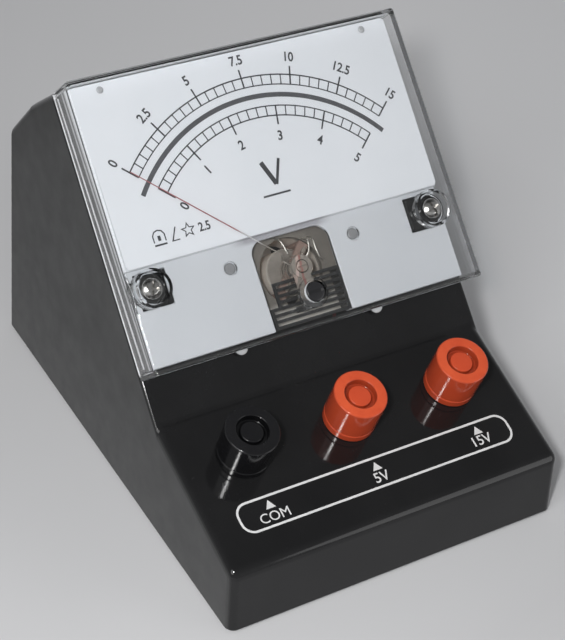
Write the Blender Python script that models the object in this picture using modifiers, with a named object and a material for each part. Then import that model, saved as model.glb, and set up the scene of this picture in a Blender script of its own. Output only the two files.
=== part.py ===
"""Desk-stand moving-coil voltmeter with two ranges.

A wedge-shaped case carries a dial face under a clear cover and a shallow
panel with three screw terminals. Two empties give the sloping faces their own
frames: in each, X runs across the case, Y up the slope and Z out of the face.
Lengths below are in millimetres and become metres when a mesh is made.
The origin is the centre of the footprint, on the surface it stands on.
"""
import bpy
import bmesh
import math
from mathutils import Matrix, Vector

MM = 0.001
GAP = 0.3                      # clearance between neighbouring pieces

# ---- case ---------------------------------------------------------------
CASE_W = 98.0
CASE_D = 132.2
FOOT_RISE = 1.2                # case bottom above the table
WALL = 2.5
DRAFT = 0.014                  # each side leans in by this much per unit of height
FRONT_TOP = (1.2, 18.2)        # front lip, (depth, height)
BEND = (42.7, 32.1)            # terminal panel meets dial face
APEX = (104.8, 92.7)           # top edge of the dial face
SHOULDER = (118.9, 80.9)
REAR_TOP = (131.5, 66.4)

# ---- dial face (dial frame) ------------------------------------------------
PIVOT_S = 27.4                 # pointer pivot, up the slope from the bend
SWEEP = 95.0                   # degrees, end to end of the scales
COVER_S0 = 11.5
COVER_S1 = 86.5
COVER_H = 11.0
COVER_WALL = 1.0
COVER_FACE = 2.0
TRAY_X = 45.7
TRAY_S0, TRAY_S1 = 13.3, 85.1
MASK_H = 4.7
TRAY_H = 6.0
PLATE_S0, PLATE_S1 = 38.3, 85.1
PLATE_H0, PLATE_H1 = 6.2, 6.6
WINDOW_X = 11.4
WINDOW_S1 = 36.8
POST = (35.65, 43.9, 28.0, 36.6)
POST_H = 5.2
COVER_SCREW = (41.4, 32.4)
ZERO_S = 20.13
LUG_X = 20.3
MASK_SCREW = (18.2, 32.0)
DIAL_PIN = (38.2, 83.2)

# ---- movement (heights in the dial frame) ------------------------------------
CORE_R, YOKE_R0, YOKE_R1 = 6.3, 9.0, 12.0
IRON_TOP, IRON_BOTTOM = -1.4, -12.4
COIL_W, COIL_TOP, COIL_BOTTOM, COIL_T, COIL_DEPTH = 8.4, 1.0, -14.9, 1.4, 3.0
NEEDLE_H = 7.3
NEEDLE_TIP = 50.6
CRANK_R0, CRANK_R1 = 4.2, 6.4
PIN_OFFSET = 0.9               # eccentric pin of the zero screw

# ---- terminals (panel frame) -------------------------------------------------
TERMINAL_X = (("com", -31.0), ("5v", 0.0), ("15v", 31.0))
TERMINAL_S = 29.2
CAP_R, CAP_TOP, CAP_BOTTOM = 7.0, 12.0, 2.6

# ---- base --------------------------------------------------------------------
BASE_Z0, BASE_Z1 = 0.3, 2.8
FEET = (("front_left", -37.0, 13.0), ("front_right", 37.0, 13.0),
        ("rear_left", -37.0, 119.0), ("rear_right", 37.0, 119.0))
BASE_SCREWS = (("front_left", -43.2, 30.0), ("front_right", 43.2, 30.0),
               ("rear_left", -43.2, 104.0), ("rear_right", 43.2, 104.0))

for old in list(bpy.data.objects):
    bpy.data.objects.remove(old, do_unlink=True)

parts = bpy.data.collections.new("millivoltmeter")
cutters = bpy.data.collections.new("cutters")
bpy.context.scene.collection.children.link(parts)
bpy.context.scene.collection.children.link(cutters)


# ---- materials ---------------------------------------------------------------
def material(name, colour, roughness, metallic=0.0, alpha=1.0):
    mat = bpy.data.materials.new(name)
    mat.use_nodes = True
    bsdf = mat.node_tree.nodes["Principled BSDF"]
    bsdf.inputs["Base Color"].default_value = (*colour, 1.0)
    bsdf.inputs["Roughness"].default_value = roughness
    bsdf.inputs["Metallic"].default_value = metallic
    bsdf.inputs["Alpha"].default_value = alpha
    mat.diffuse_color = (*colour, alpha)
    return mat


BLACK = material("black_case", (0.018, 0.018, 0.02), 0.22)
DARK = material("black_matte", (0.03, 0.03, 0.032), 0.55)
CLEAR = material("clear_cover", (0.93, 0.95, 0.96), 0.05, alpha=0.25)
WHITE = material("white_tray", (0.60, 0.61, 0.63), 0.45)
DIAL = material("dial_white", (0.80, 0.81, 0.84), 0.5)
RED = material("red_cap", (0.72, 0.09, 0.035), 0.3)
CHROME = material("bright_screw", (0.62, 0.62, 0.62), 0.22, 1.0)
STEEL = material("steel", (0.45, 0.45, 0.46), 0.35, 1.0)
BRASS = material("brass", (0.62, 0.45, 0.20), 0.35, 1.0)
BRONZE = material("bronze_plate", (0.30, 0.24, 0.18), 0.45, 1.0)
COPPER = material("copper_coil", (0.62, 0.26, 0.14), 0.4, 1.0)
MAGNET = material("magnet", (0.22, 0.20, 0.18), 0.5, 1.0)
NEEDLE = material("pointer_red", (0.30, 0.05, 0.05), 0.5)
ALUMINIUM = material("aluminium", (0.62, 0.62, 0.63), 0.35, 1.0)
RUBBER = material("foot_rubber", (0.03, 0.03, 0.03), 0.8)
RESISTOR = material("resistor_body", (0.55, 0.42, 0.26), 0.5)
LEAD_RED = material("lead_red", (0.45, 0.04, 0.03), 0.5)
LEAD_BLACK = material("lead_black", (0.03, 0.03, 0.03), 0.5)


# ---- frames ------------------------------------------------------------------
def empty(name, location, rotation=(0.0, 0.0, 0.0), parent=None):
    obj = bpy.data.objects.new(name, None)
    obj.empty_display_size = 0.01
    obj.location = [c * MM for c in location]
    obj.rotation_euler = rotation
    obj.parent = parent
    parts.objects.link(obj)
    return obj


DIAL_ANGLE = math.atan2(APEX[1] - BEND[1], APEX[0] - BEND[0])
PANEL_ANGLE = math.atan2(BEND[1] - FRONT_TOP[1], BEND[0] - FRONT_TOP[0])
case_frame = empty("case_frame", (0, -CASE_D / 2, FOOT_RISE))
dial_frame = empty("dial_frame", (0, BEND[0], BEND[1]), (DIAL_ANGLE, 0, 0), case_frame)
panel_frame = empty("panel_frame", (0, FRONT_TOP[0], FRONT_TOP[1]), (PANEL_ANGLE, 0, 0), case_frame)
pivot = empty("pivot", (0, PIVOT_S, 0), (0, 0, math.radians(SWEEP / 2)), dial_frame)
core_frame = empty("core_frame", (0, PIVOT_S, 0), (0, 0, 0), dial_frame)
zero_axis = empty("zero_axis", (0, ZERO_S, 0), (0, 0, 0), dial_frame)


# ---- shape helpers -----------------------------------------------------------
def add(name, mesh, frame, mat=None, location=(0, 0, 0), cutter=False):
    """Link a mesh as an object in a frame, as a part or as a hidden cutter."""
    obj = bpy.data.objects.new(name, mesh)
    obj.parent = frame
    obj.location = [c * MM for c in location]
    if cutter:
        cutters.objects.link(obj)
        obj.hide_render = True
        obj.display_type = 'WIRE'
    else:
        parts.objects.link(obj)
        mesh.materials.append(mat)
    return obj


def finish_mesh(name, bm, smooth=False):
    bmesh.ops.recalc_face_normals(bm, faces=bm.faces)
    mesh = bpy.data.meshes.new(name)
    bm.to_mesh(mesh)
    bm.free()
    if smooth:
        mesh.shade_smooth()
        mesh.set_sharp_from_angle(angle=math.radians(35))
    return mesh


def box_mesh(name, x0, x1, y0, y1, z0, z1):
    bm = bmesh.new()
    place = Matrix.Translation(Vector(((x0 + x1) / 2, (y0 + y1) / 2, (z0 + z1) / 2)) * MM)
    size = Matrix.Diagonal(((x1 - x0) * MM, (y1 - y0) * MM, (z1 - z0) * MM, 1.0))
    bmesh.ops.create_cube(bm, size=1.0, matrix=place @ size)
    return finish_mesh(name, bm)


def round_mesh(name, radius, z0, z1, x=0.0, y=0.0, segments=24, radius_top=None):
    """A cylinder, or a cone frustum when radius_top differs."""
    bm = bmesh.new()
    bmesh.ops.create_cone(bm, cap_ends=True, cap_tris=False, segments=segments,
                          radius1=radius * MM, radius2=(radius if radius_top is None else radius_top) * MM,
                          depth=(z1 - z0) * MM,
                          matrix=Matrix.Translation(Vector((x, y, (z0 + z1) / 2)) * MM))
    return finish_mesh(name, bm, smooth=True)


def turned(name, profile, frame, mat, segments=28, closed=False, location=(0, 0, 0)):
    """A turned piece: profile points (radius, height), outer side top to bottom."""
    mesh = bpy.data.meshes.new(name)
    verts = [(r * MM, 0.0, z * MM) for r, z in profile]
    edges = [(i, i + 1) for i in range(len(verts) - 1)]
    if closed:
        edges.append((len(verts) - 1, 0))
    mesh.from_pydata(verts, edges, [])
    obj = add(name, mesh, frame, mat, location)
    screw = obj.modifiers.new("turn", 'SCREW')
    screw.axis = 'Z'
    screw.angle = math.tau
    screw.steps = segments
    screw.render_steps = segments
    screw.use_merge_vertices = True
    screw.merge_threshold = 1e-6
    screw.use_smooth_shade = True
    return obj


def outline_mesh(name, outlines, z0, z1):
    """A flat plate from one outline, with any further outlines as holes."""
    curve = bpy.data.curves.new(name, 'CURVE')
    curve.dimensions = '2D'
    curve.fill_mode = 'BOTH'
    curve.extrude = (z1 - z0) / 2 * MM
    for outline in outlines:
        spline = curve.splines.new('POLY')
        spline.points.add(len(outline) - 1)
        for point, (x, y) in zip(spline.points, outline):
            point.co = (x * MM, y * MM, 0.0, 1.0)
        spline.use_cyclic_u = True
    return curve_to_mesh(name, curve, Matrix.Translation((0, 0, (z0 + z1) / 2 * MM)))


def curve_to_mesh(name, curve, matrix=None):
    holder = bpy.data.objects.new(name + "_curve", curve)
    cutters.objects.link(holder)
    bpy.context.view_layer.update()
    evaluated = holder.evaluated_get(bpy.context.evaluated_depsgraph_get())
    mesh = bpy.data.meshes.new_from_object(evaluated)
    bpy.data.objects.remove(holder, do_unlink=True)
    bm = bmesh.new()
    bm.from_mesh(mesh)
    bmesh.ops.remove_doubles(bm, verts=bm.verts, dist=1e-6)
    bmesh.ops.dissolve_limit(bm, angle_limit=math.radians(0.5), verts=bm.verts, edges=bm.edges)
    if matrix is not None:
        bmesh.ops.transform(bm, matrix=matrix, verts=bm.verts)
    bpy.data.meshes.remove(mesh)
    return finish_mesh(name, bm)


def wire_mesh(name, points, radius, radii=None, resolution=2):
    """A round wire along points, its radius scaled point by point if given."""
    curve = bpy.data.curves.new(name, 'CURVE')
    curve.dimensions = '3D'
    curve.bevel_depth = radius * MM
    curve.bevel_resolution = resolution
    curve.use_fill_caps = True
    spline = curve.splines.new('POLY')
    spline.points.add(len(points) - 1)
    for i, (point, p) in enumerate(zip(spline.points, points)):
        point.co = (p[0] * MM, p[1] * MM, p[2] * MM, 1.0)
        point.radius = 1.0 if radii is None else radii[i]
    return curve_to_mesh(name, curve)


def smooth_route(points, steps):
    """Points of a smooth curve through the given ones (Catmull-Rom)."""
    pts = [Vector(p) for p in points]
    pts = [2 * pts[0] - pts[1]] + pts + [2 * pts[-1] - pts[-2]]
    route = []
    for i in range(1, len(pts) - 2):
        a, b, c, d = pts[i - 1:i + 3]
        for k in range(steps):
            t = k / steps
            route.append(0.5 * (2 * b + (c - a) * t + (2 * a - 5 * b + 4 * c - d) * t * t
                                + (3 * b - a - 3 * c + d) * t ** 3))
    route.append(pts[-2])
    return route


def boolean(obj, tool, operation='DIFFERENCE'):
    mod = obj.modifiers.new(tool.name, 'BOOLEAN')
    mod.operation = operation
    mod.solver = 'EXACT'
    mod.object = tool
    return mod


def cut(obj, mesh, frame, location=(0, 0, 0)):
    return boolean(obj, add(mesh.name, mesh, frame, location=location, cutter=True))


def join(obj, mesh, frame, location=(0, 0, 0)):
    return boolean(obj, add(mesh.name, mesh, frame, location=location, cutter=True), 'UNION')


def bevel(obj, width, segments=2, angle=30.0):
    mod = obj.modifiers.new("round_edges", 'BEVEL')
    mod.width = width * MM
    mod.segments = segments
    mod.limit_method = 'ANGLE'
    mod.angle_limit = math.radians(angle)
    mod.harden_normals = False
    return mod


def weighted_bevel(obj, width, segments, weight):
    """Bevel whose width is scaled by weight(point_a, point_b) on each edge."""
    mesh = obj.data
    layer = mesh.attributes.new("bevel_weight_edge", 'FLOAT', 'EDGE')
    for edge in mesh.edges:
        a, b = (mesh.vertices[i].co / MM for i in edge.vertices)
        layer.data[edge.index].value = weight(a, b)
    mod = obj.modifiers.new("round_edges", 'BEVEL')
    mod.width = width * MM
    mod.segments = segments
    mod.limit_method = 'WEIGHT'
    return mod


def inset(outline, distance):
    """Outline moved inwards by distance (points run clockwise in depth, height)."""
    result = []
    n = len(outline)
    for i in range(n):
        p0, p1, p2 = (Vector(outline[(i + k) % n]) for k in (-1, 0, 1))
        d1, d2 = (p1 - p0).normalized(), (p2 - p1).normalized()
        n1, n2 = Vector((d1.y, -d1.x)), Vector((d2.y, -d2.x))
        bisector = (n1 + n2).normalized()
        p = p1 + bisector * (distance / bisector.dot(n1))
        result.append((p.x, p.y))
    return result


def side_extrusion(name, outline, half_width, draft):
    """Prism across the case from an outline in (depth, height), with drafted sides."""
    mesh = outline_mesh(name, [outline], -half_width, half_width)
    turn = Matrix(((0, 0, 1, 0), (1, 0, 0, 0), (0, 1, 0, 0), (0, 0, 0, 1)))
    mesh.transform(turn)
    for v in mesh.vertices:
        v.co.x *= 1.0 - draft * (v.co.z / MM) / half_width
    mesh.update()
    return mesh


def rounded_rect(x0, x1, y0, y1, radius, steps=4, corners=(1, 1, 1, 1)):
    """Outline of a rectangle; corners are lower-left, lower-right, upper-right, upper-left."""
    centres = ((x0, y0, 180), (x1, y0, 270), (x1, y1, 0), (x0, y1, 90))
    points = []
    for (cx, cy, start), rounded in zip(centres, corners):
        if not rounded:
            points.append((cx, cy))
            continue
        ox = radius if cx == x0 else -radius
        oy = radius if cy == y0 else -radius
        for k in range(steps + 1):
            a = math.radians(start + 90 * k / steps)
            points.append((cx + ox + radius * math.cos(a), cy + oy + radius * math.sin(a)))
    return points


def circle(radius, cx=0.0, cy=0.0, segments=24, start=0.0):
    return [(cx + radius * math.cos(start + math.tau * k / segments),
             cy + radius * math.sin(start + math.tau * k / segments)) for k in range(segments)]


def half_width(s, h=0.0):
    """Outer half width of the case at a place on the dial face."""
    z = BEND[1] + s * math.sin(DIAL_ANGLE) + h * math.cos(DIAL_ANGLE)
    return CASE_W / 2 - DRAFT * z


# ---- case shell ----------------------------------------------------------------
def profile(bottom):
    lean = FRONT_TOP[0] / FRONT_TOP[1]
    rear = (CASE_D - REAR_TOP[0]) / REAR_TOP[1]
    return [(lean * bottom, bottom), FRONT_TOP, BEND, APEX, SHOULDER, REAR_TOP,
            (CASE_D - rear * bottom, bottom)]


case = add("case_shell", side_extrusion("case_shell", profile(-8.0), CASE_W / 2, DRAFT), case_frame, BLACK)


def case_edge(a, b):
    """Big rounds at the front, rear and terminal panel, a small one round the dial face."""
    def near(p, q):
        return abs(p.y - q[0]) < 0.3 and abs(p.z - q[1]) < 0.3
    if min(a.z, b.z) < -7.0 and max(a.z, b.z) < -7.0:
        return 0.0
    for end in (a, b):
        other = b if end is a else a
        if near(end, APEX) and (near(other, BEND) or near(other, APEX)):
            return 0.4
    if near(a, BEND) and near(b, BEND):
        return 0.3
    if near(a, SHOULDER) and near(b, SHOULDER):
        return 0.9
    return 1.0


weighted_bevel(case, 2.4, 3, case_edge)
cavity = inset(profile(-8.0), WALL)
cavity = [cavity[0]] + cavity[1:-1] + [cavity[-1]]
cavity[0] = (cavity[0][0], -12.0)
cavity[-1] = (cavity[-1][0], -12.0)
cut(case, box_mesh("cut_case_bottom", -70, 70, -20, 160, -20, 0), case_frame)
cut(case, side_extrusion("cut_case_cavity", cavity, CASE_W / 2 - WALL, DRAFT), case_frame)
for side in (-1, 1):
    x0, x1 = sorted((side * POST[0], side * POST[1]))
    join(case, box_mesh("join_post_%d" % side, x0, x1, POST[2], POST[3], -1.2, POST_H), dial_frame)
for where, x, y in BASE_SCREWS:
    join(case, round_mesh("join_boss_" + where, 3.8, 3.1, 17.0, segments=14), case_frame, (x, y, 0))
cut(case, outline_mesh("cut_movement_opening", [rounded_rect(-23, 23, 12.9, 43, 2.0, 2)], -5, 3), dial_frame)
for side in (-1, 1):
    cut(case, round_mesh("cut_post_hole_%d" % side, 1.75, -5, 8, segments=12), dial_frame,
        (side * COVER_SCREW[0], COVER_SCREW[1], 0))
for label, x in TERMINAL_X:
    cut(case, round_mesh("cut_terminal_" + label, 3.2, -5, 3), panel_frame, (x, TERMINAL_S, 0))
for where, x, y in BASE_SCREWS:
    cut(case, round_mesh("cut_boss_" + where, 1.45, 2.0, 15.0, segments=10), case_frame, (x, y, 0))

# ---- base plate, feet, base screws ----------------------------------------------
base = add("base_plate", outline_mesh("base_plate", [rounded_rect(-46.0, 46.0, 3.1, 129.2, 1.5, 2)],
                                      BASE_Z0, BASE_Z1), case_frame, DARK)
for where, x, y in FEET:
    cut(base, round_mesh("cut_foot_" + where, 6.4, -1.0, 1.5, segments=20), case_frame, (x, y, 0))
    turned("foot_" + where, [(0, 1.2), (6.0, 1.2), (6.0, -0.6), (5.4, -FOOT_RISE), (0, -FOOT_RISE)],
           case_frame, RUBBER, 20, location=(x, y, 0))
for where, x, y in BASE_SCREWS:
    cut(base, round_mesh("cut_base_screw_" + where, 1.5, -1, 5, segments=10), case_frame, (x, y, 0))
    cut(base, round_mesh("cut_base_head_" + where, 3.0, -1, 1.6, segments=14), case_frame, (x, y, 0))
    screw = turned("base_screw_" + where,
                   [(0, 13.0), (1.1, 12.4), (1.1, 1.3), (2.6, 1.3), (2.6, 0.4), (0, 0.4)],
                   case_frame, STEEL, 12, location=(x, y, 0))
    cut(screw, box_mesh("cut_base_slot_" + where, -3, 3, -0.35, 0.35, 0, 0.85), case_frame, (x, y, 0))

# ---- clear cover -------------------------------------------------------------
outer = [(-half_width(COVER_S0, 5), COVER_S0), (half_width(COVER_S0, 5), COVER_S0),
         (half_width(COVER_S1, 5), COVER_S1), (-half_width(COVER_S1, 5), COVER_S1)]
inner = [(-half_width(COVER_S0, 5) + COVER_WALL, COVER_S0 + COVER_WALL),
         (half_width(COVER_S0, 5) - COVER_WALL, COVER_S0 + COVER_WALL),
         (half_width(COVER_S1, 5) - COVER_WALL, COVER_S1 - COVER_WALL),
         (-half_width(COVER_S1, 5) + COVER_WALL, COVER_S1 - COVER_WALL)]
cover = add("clear_cover", outline_mesh("clear_cover", [outer], GAP, COVER_H), dial_frame, CLEAR)
weighted_bevel(cover, 0.7, 2, lambda a, b: 0.0 if max(a.z, b.z) < GAP + 0.1 else 1.0)
for side in (-1, 1):
    join(cover, round_mesh("join_lug_%d" % side, 1.9, GAP, 1.7, segments=16), dial_frame,
         (side * LUG_X, COVER_S0 + 0.4, 0))
cut(cover, outline_mesh("cut_cover_inside", [inner], -2.0, COVER_H - COVER_FACE), dial_frame)
for side in (-1, 1):
    at = (side * COVER_SCREW[0], COVER_SCREW[1], 0)
    join(cover, round_mesh("join_well_%d" % side, 5.0, POST_H + GAP, 9.6, segments=24), dial_frame, at)
join(cover, round_mesh("join_zero_boss", 4.0, 7.6, 9.6, segments=24), zero_axis)
for side in (-1, 1):
    at = (side * COVER_SCREW[0], COVER_SCREW[1], 0)
    cut(cover, round_mesh("cut_well_%d" % side, 4.2, 6.7, 13.0, segments=24), dial_frame, at)
    cut(cover, round_mesh("cut_well_hole_%d" % side, 1.75, 4.0, 8.0, segments=12), dial_frame, at)
cut(cover, round_mesh("cut_zero_head", 2.85, 9.3, 13.0, segments=24), zero_axis)
cut(cover, round_mesh("cut_zero_shank", 1.8, 6.0, 10.0, segments=16), zero_axis)

for label, side in (("left", -1), ("right", 1)):
    at = (side * COVER_SCREW[0], COVER_SCREW[1], 0)
    screw = turned("cover_screw_" + label,
                   [(0, 9.5), (1.6, 9.4), (2.7, 8.5), (2.7, 7.6), (3.5, 7.6), (3.5, 7.0), (1.4, 7.0), (1.4, -2.0),
                    (0, -2.4)], dial_frame, CHROME, 20, location=at)
    cut(screw, box_mesh("cut_cross_a_" + label, -1.6, 1.6, -0.3, 0.3, 8.4, 11), dial_frame, at)
    cut(screw, box_mesh("cut_cross_b_" + label, -0.3, 0.3, -1.6, 1.6, 8.4, 11), dial_frame, at)

# ---- movement tray with the lower mask --------------------------------------------
step = PLATE_S0 - GAP
tray_out = [(TRAY_S0, GAP), (TRAY_S0, MASK_H), (step, MASK_H), (step, TRAY_H), (TRAY_S1, TRAY_H), (TRAY_S1, GAP)]
tray_in = [(TRAY_S0 + 1.5, -2.0), (TRAY_S0 + 1.5, MASK_H - 1.5), (step + 1.5, MASK_H - 1.5),
           (step + 1.5, TRAY_H - 1.5), (TRAY_S1 - 1.5, TRAY_H - 1.5), (TRAY_S1 - 1.5, -2.0)]
tray = add("movement_tray", side_extrusion("movement_tray", tray_out, TRAY_X, 0.0), dial_frame, WHITE)
cut(tray, side_extrusion("cut_tray_inside", tray_in, TRAY_X - 1.5, 0.0), dial_frame)
for side in (-1, 1):
    join(tray, round_mesh("join_pillar_%d" % side, 2.8, 0.6, 3.9, segments=16), dial_frame,
         (side * MASK_SCREW[0], MASK_SCREW[1], 0))
cut(tray, outline_mesh("cut_window", [rounded_rect(-WINDOW_X, WINDOW_X, 12.0, WINDOW_S1, 4.8, 5, (0, 0, 1, 1))],
                       -3.0, 9.0), dial_frame)
for side in (-1, 1):
    x0, x1 = sorted((side * (POST[0] - GAP), side * (POST[1] + 0.4)))
    cut(tray, box_mesh("cut_post_notch_%d" % side, x0, x1, POST[2] - GAP, POST[3] + GAP, -3, 9), dial_frame)
    at = (side * MASK_SCREW[0], MASK_SCREW[1], 0)
    cut(tray, round_mesh("cut_mask_hole_%d" % side, 1.2, -1, 9, segments=12), dial_frame, at)
    cut(tray, round_mesh("cut_mask_recess_%d" % side, 1.9, 3.8, 9, segments=16), dial_frame, at)
    cut(tray, round_mesh("cut_tray_pin_%d" % side, 0.85, 3, 9, segments=10), dial_frame,
        (side * DIAL_PIN[0], DIAL_PIN[1], 0))

# ---- dial plate, pins, mask screws ---------------------------------------------
plate_outline = rounded_rect(-TRAY_X, TRAY_X, PLATE_S0, PLATE_S1, 1.0, 2)
plate = add("dial_plate", outline_mesh("dial_plate", [plate_outline] + [circle(0.85, s * DIAL_PIN[0], DIAL_PIN[1], 10)
                                                                      for s in (-1, 1)], PLATE_H0, PLATE_H1),
            dial_frame, DIAL)
for label, side in (("left", -1), ("right", 1)):
    turned("dial_pin_" + label, [(0, 7.15), (0.6, 7.1), (0.95, 6.85), (0.55, 6.8), (0.55, 4.2), (0, 4.2)],
           dial_frame, STEEL, 12, location=(side * DIAL_PIN[0], DIAL_PIN[1], 0))
    turned("mask_screw_" + label,
           [(0, 4.5), (1.2, 4.5), (1.5, 4.3), (1.5, 4.05), (0.85, 4.0), (0.85, -1.6), (0, -1.6)],
           dial_frame, STEEL, 12, location=(side * MASK_SCREW[0], MASK_SCREW[1], 0))

# ---- louvre over the foot of the window: dark bars on two side rails --------------
BAR_S0, BAR_PITCH, BAR_COUNT, BAR_W = 14.0, 1.56, 8, 0.8
LOUVRE_H0, LOUVRE_H1 = 4.2, 4.7
LOUVRE_X, LOUVRE_STEP = WINDOW_X - GAP, -8.6
louvre_s0 = BAR_S0 - BAR_W / 2
louvre_s1 = BAR_S0 + (BAR_COUNT - 1) * BAR_PITCH + BAR_W / 2
bar_step = BAR_S0 + 3 * BAR_PITCH + BAR_W / 2      # the upper bars stop short on the left
louvre = [(-LOUVRE_X, louvre_s0), (LOUVRE_X, louvre_s0), (LOUVRE_X, louvre_s1), (LOUVRE_STEP, louvre_s1),
          (LOUVRE_STEP, bar_step), (-LOUVRE_X, bar_step)]
slots = []
for k in range(BAR_COUNT - 1):
    left = LOUVRE_STEP + 0.8 if k > 2 else -LOUVRE_X + 0.8
    s = BAR_S0 + k * BAR_PITCH
    slots.append([(left, s + BAR_W / 2), (LOUVRE_X - 0.8, s + BAR_W / 2), (LOUVRE_X - 0.8, s + BAR_PITCH - BAR_W / 2),
                  (left, s + BAR_PITCH - BAR_W / 2)])
insert = add("window_louvre", outline_mesh("window_louvre", [louvre] + slots, LOUVRE_H0, LOUVRE_H1), dial_frame, DARK)
join(insert, box_mesh("join_rail_left", -LOUVRE_X, -LOUVRE_X + 0.8, louvre_s0, bar_step, 0.6, LOUVRE_H0 + 0.2),
     dial_frame)
join(insert, box_mesh("join_rail_right", LOUVRE_X - 0.8, LOUVRE_X, louvre_s0, louvre_s1, 0.6, LOUVRE_H0 + 0.2),
     dial_frame)
cut(insert, box_mesh("cut_louvre_bridge", -2.5, 2.5, 16.1, 18.2, 3, 6), dial_frame)

# ---- magnet system -------------------------------------------------------------
add("movement_plate", outline_mesh("movement_plate", [
    rounded_rect(-21, 21, 13.7, 41.4, 2.0, 2), circle(8.95, 0, PIVOT_S, 28),
    circle(1.2, -MASK_SCREW[0], MASK_SCREW[1], 10), circle(1.2, MASK_SCREW[0], MASK_SCREW[1], 10)], -1.1, 0.3),
    dial_frame, BRONZE)
turned("yoke_ring", [(YOKE_R1, IRON_TOP), (YOKE_R1, IRON_BOTTOM), (YOKE_R0, IRON_BOTTOM), (YOKE_R0, IRON_TOP)],
       core_frame, STEEL, 28, closed=True)
turned("core_magnet", [(0, IRON_TOP), (CORE_R - 0.5, IRON_TOP), (CORE_R, IRON_TOP - 0.5), (CORE_R, IRON_BOTTOM),
                       (0, IRON_BOTTOM)], core_frame, MAGNET, 24)
add("core_strap", box_mesh("core_strap", -2.4, 2.4, -11.6, 11.6, -13.2, -12.7), core_frame, ALUMINIUM)

# ---- bridges and jewel screws ----------------------------------------------------
upper = add("upper_bridge", outline_mesh("upper_bridge", [
    [(-2.2, -11.0), (2.2, -11.0)] + [(2.2 * math.cos(a), 2.2 * math.sin(a))
                                     for a in [math.pi * k / 8 for k in range(9)]]], 5.0, 6.0), core_frame, BRASS)
join(upper, box_mesh("join_upper_foot", -2.2, 2.2, -11.0, -9.4, 0.6, 5.5), core_frame)
cut(upper, round_mesh("cut_upper_jewel", 1.75, 4, 8, segments=14), core_frame)
lower = add("lower_bridge", box_mesh("lower_bridge", -11.4, 11.4, -2.4, 2.4, -19.6, -18.6), core_frame, BRASS)
for side in (-1, 1):
    x0, x1 = sorted((side * 9.8, side * 11.4))
    join(lower, box_mesh("join_lower_leg_%d" % side, x0, x1, -2.4, 2.4, -19.0, -12.7), core_frame)
cut(lower, round_mesh("cut_lower_jewel", 1.75, -22, -17, segments=14), core_frame)
jewel = turned("upper_jewel", [(0, 7.2), (1.5, 7.2), (1.5, 4.2), (1.0, 4.2), (0.3, 5.4), (0, 5.4)],
               core_frame, BRASS, 14)
cut(jewel, box_mesh("cut_jewel_slot", -2, 2, -0.25, 0.25, 6.6, 8), core_frame)
turned("lower_jewel", [(0, -19.0), (0.3, -19.0), (1.0, -17.8), (1.5, -17.8), (1.5, -20.8), (0, -20.8)],
       core_frame, BRASS, 14)

# ---- moving element: drawn with the pointer along +Y, turned by its frame ------------
coil = add("moving_coil", box_mesh("moving_coil", -COIL_W, COIL_W, -COIL_DEPTH / 2, COIL_DEPTH / 2,
                                   COIL_BOTTOM, COIL_TOP), pivot, COPPER)
cut(coil, box_mesh("cut_coil_inside", -COIL_W + COIL_T, COIL_W - COIL_T, -5, 5,
                   COIL_BOTTOM + COIL_T, COIL_TOP - COIL_T), pivot)
bevel(coil, 0.4, 2, 60)
turned("upper_staff", [(0, 4.9), (0.15, 4.9), (0.8, 4.0), (0.8, 1.6), (1.8, 1.6), (1.8, 1.3), (0, 1.3)],
       pivot, STEEL, 12)
turned("lower_staff", [(0, -15.2), (1.8, -15.2), (1.8, -15.5), (0.8, -15.5), (0.8, -17.6), (0.15, -18.5),
                       (0, -18.5)], pivot, STEEL, 12)

needle_route = [(0, 1.5, 3.6), (0, CRANK_R0, 3.6), (0, CRANK_R0 + 0.35, 3.75), (0, CRANK_R1 - 0.3, NEEDLE_H - 0.25),
                (0, CRANK_R1, NEEDLE_H), (0, 20.0, NEEDLE_H), (0, NEEDLE_TIP, NEEDLE_H)]
pointer = add("pointer", wire_mesh("pointer", needle_route, 0.22, [1.15, 1.1, 1.1, 1.05, 1.05, 0.9, 0.6], 1),
              pivot, NEEDLE)
join(pointer, outline_mesh("join_pointer_hub", [circle(2.1, segments=16), circle(1.1, segments=12)], 3.3, 3.9), pivot)

cross = add("balance_cross", outline_mesh("balance_cross", [circle(2.0, segments=16), circle(1.1, segments=12)],
                                          2.6, 3.1), pivot, BRASS)
join(cross, box_mesh("join_cross_tail", -0.3, 0.3, -8.0, -1.6, 2.6, 3.1), pivot)
join(cross, box_mesh("join_cross_left", -6.6, -1.6, -0.25, 0.25, 2.6, 3.1), pivot)
join(cross, box_mesh("join_cross_right", 1.6, 6.6, -0.25, 0.25, 2.6, 3.1), pivot)
tail = round_mesh("join_tail_weight", 0.85, -1.0, 1.0, segments=12)
tail.transform(Matrix.Translation(Vector((0, -6.4, 2.85)) * MM) @ Matrix.Rotation(math.pi / 2, 4, 'X'))
join(cross, tail, pivot)
for side in (-1, 1):
    bob = round_mesh("join_side_weight_%d" % side, 0.6, -0.6, 0.6, segments=10)
    bob.transform(Matrix.Translation(Vector((side * 5.4, 0, 2.85)) * MM) @ Matrix.Rotation(math.pi / 2, 4, 'Y'))
    join(cross, bob, pivot)


def hairspring(name, z, turns, hand):
    """A flat spiral ribbon standing on edge, given its thickness by Solidify."""
    count = int(turns * 11) + 1
    verts, faces = [], []
    for k in range(count):
        t = k / (count - 1)
        r = 1.35 + (4.1 - 1.35) * t
        a = hand * math.tau * turns * t
        for dz in (-0.25, 0.25):
            verts.append((r * math.cos(a) * MM, r * math.sin(a) * MM, (z + dz) * MM))
        if k:
            i = 2 * k
            faces.append((i - 2, i, i + 1, i - 1))
    mesh = bpy.data.meshes.new(name)
    mesh.from_pydata(verts, [], faces)
    obj = add(name, mesh, pivot, BRASS)
    solid = obj.modifiers.new("thickness", 'SOLIDIFY')
    solid.thickness = 0.15 * MM
    solid.offset = 0.0
    return obj


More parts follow.
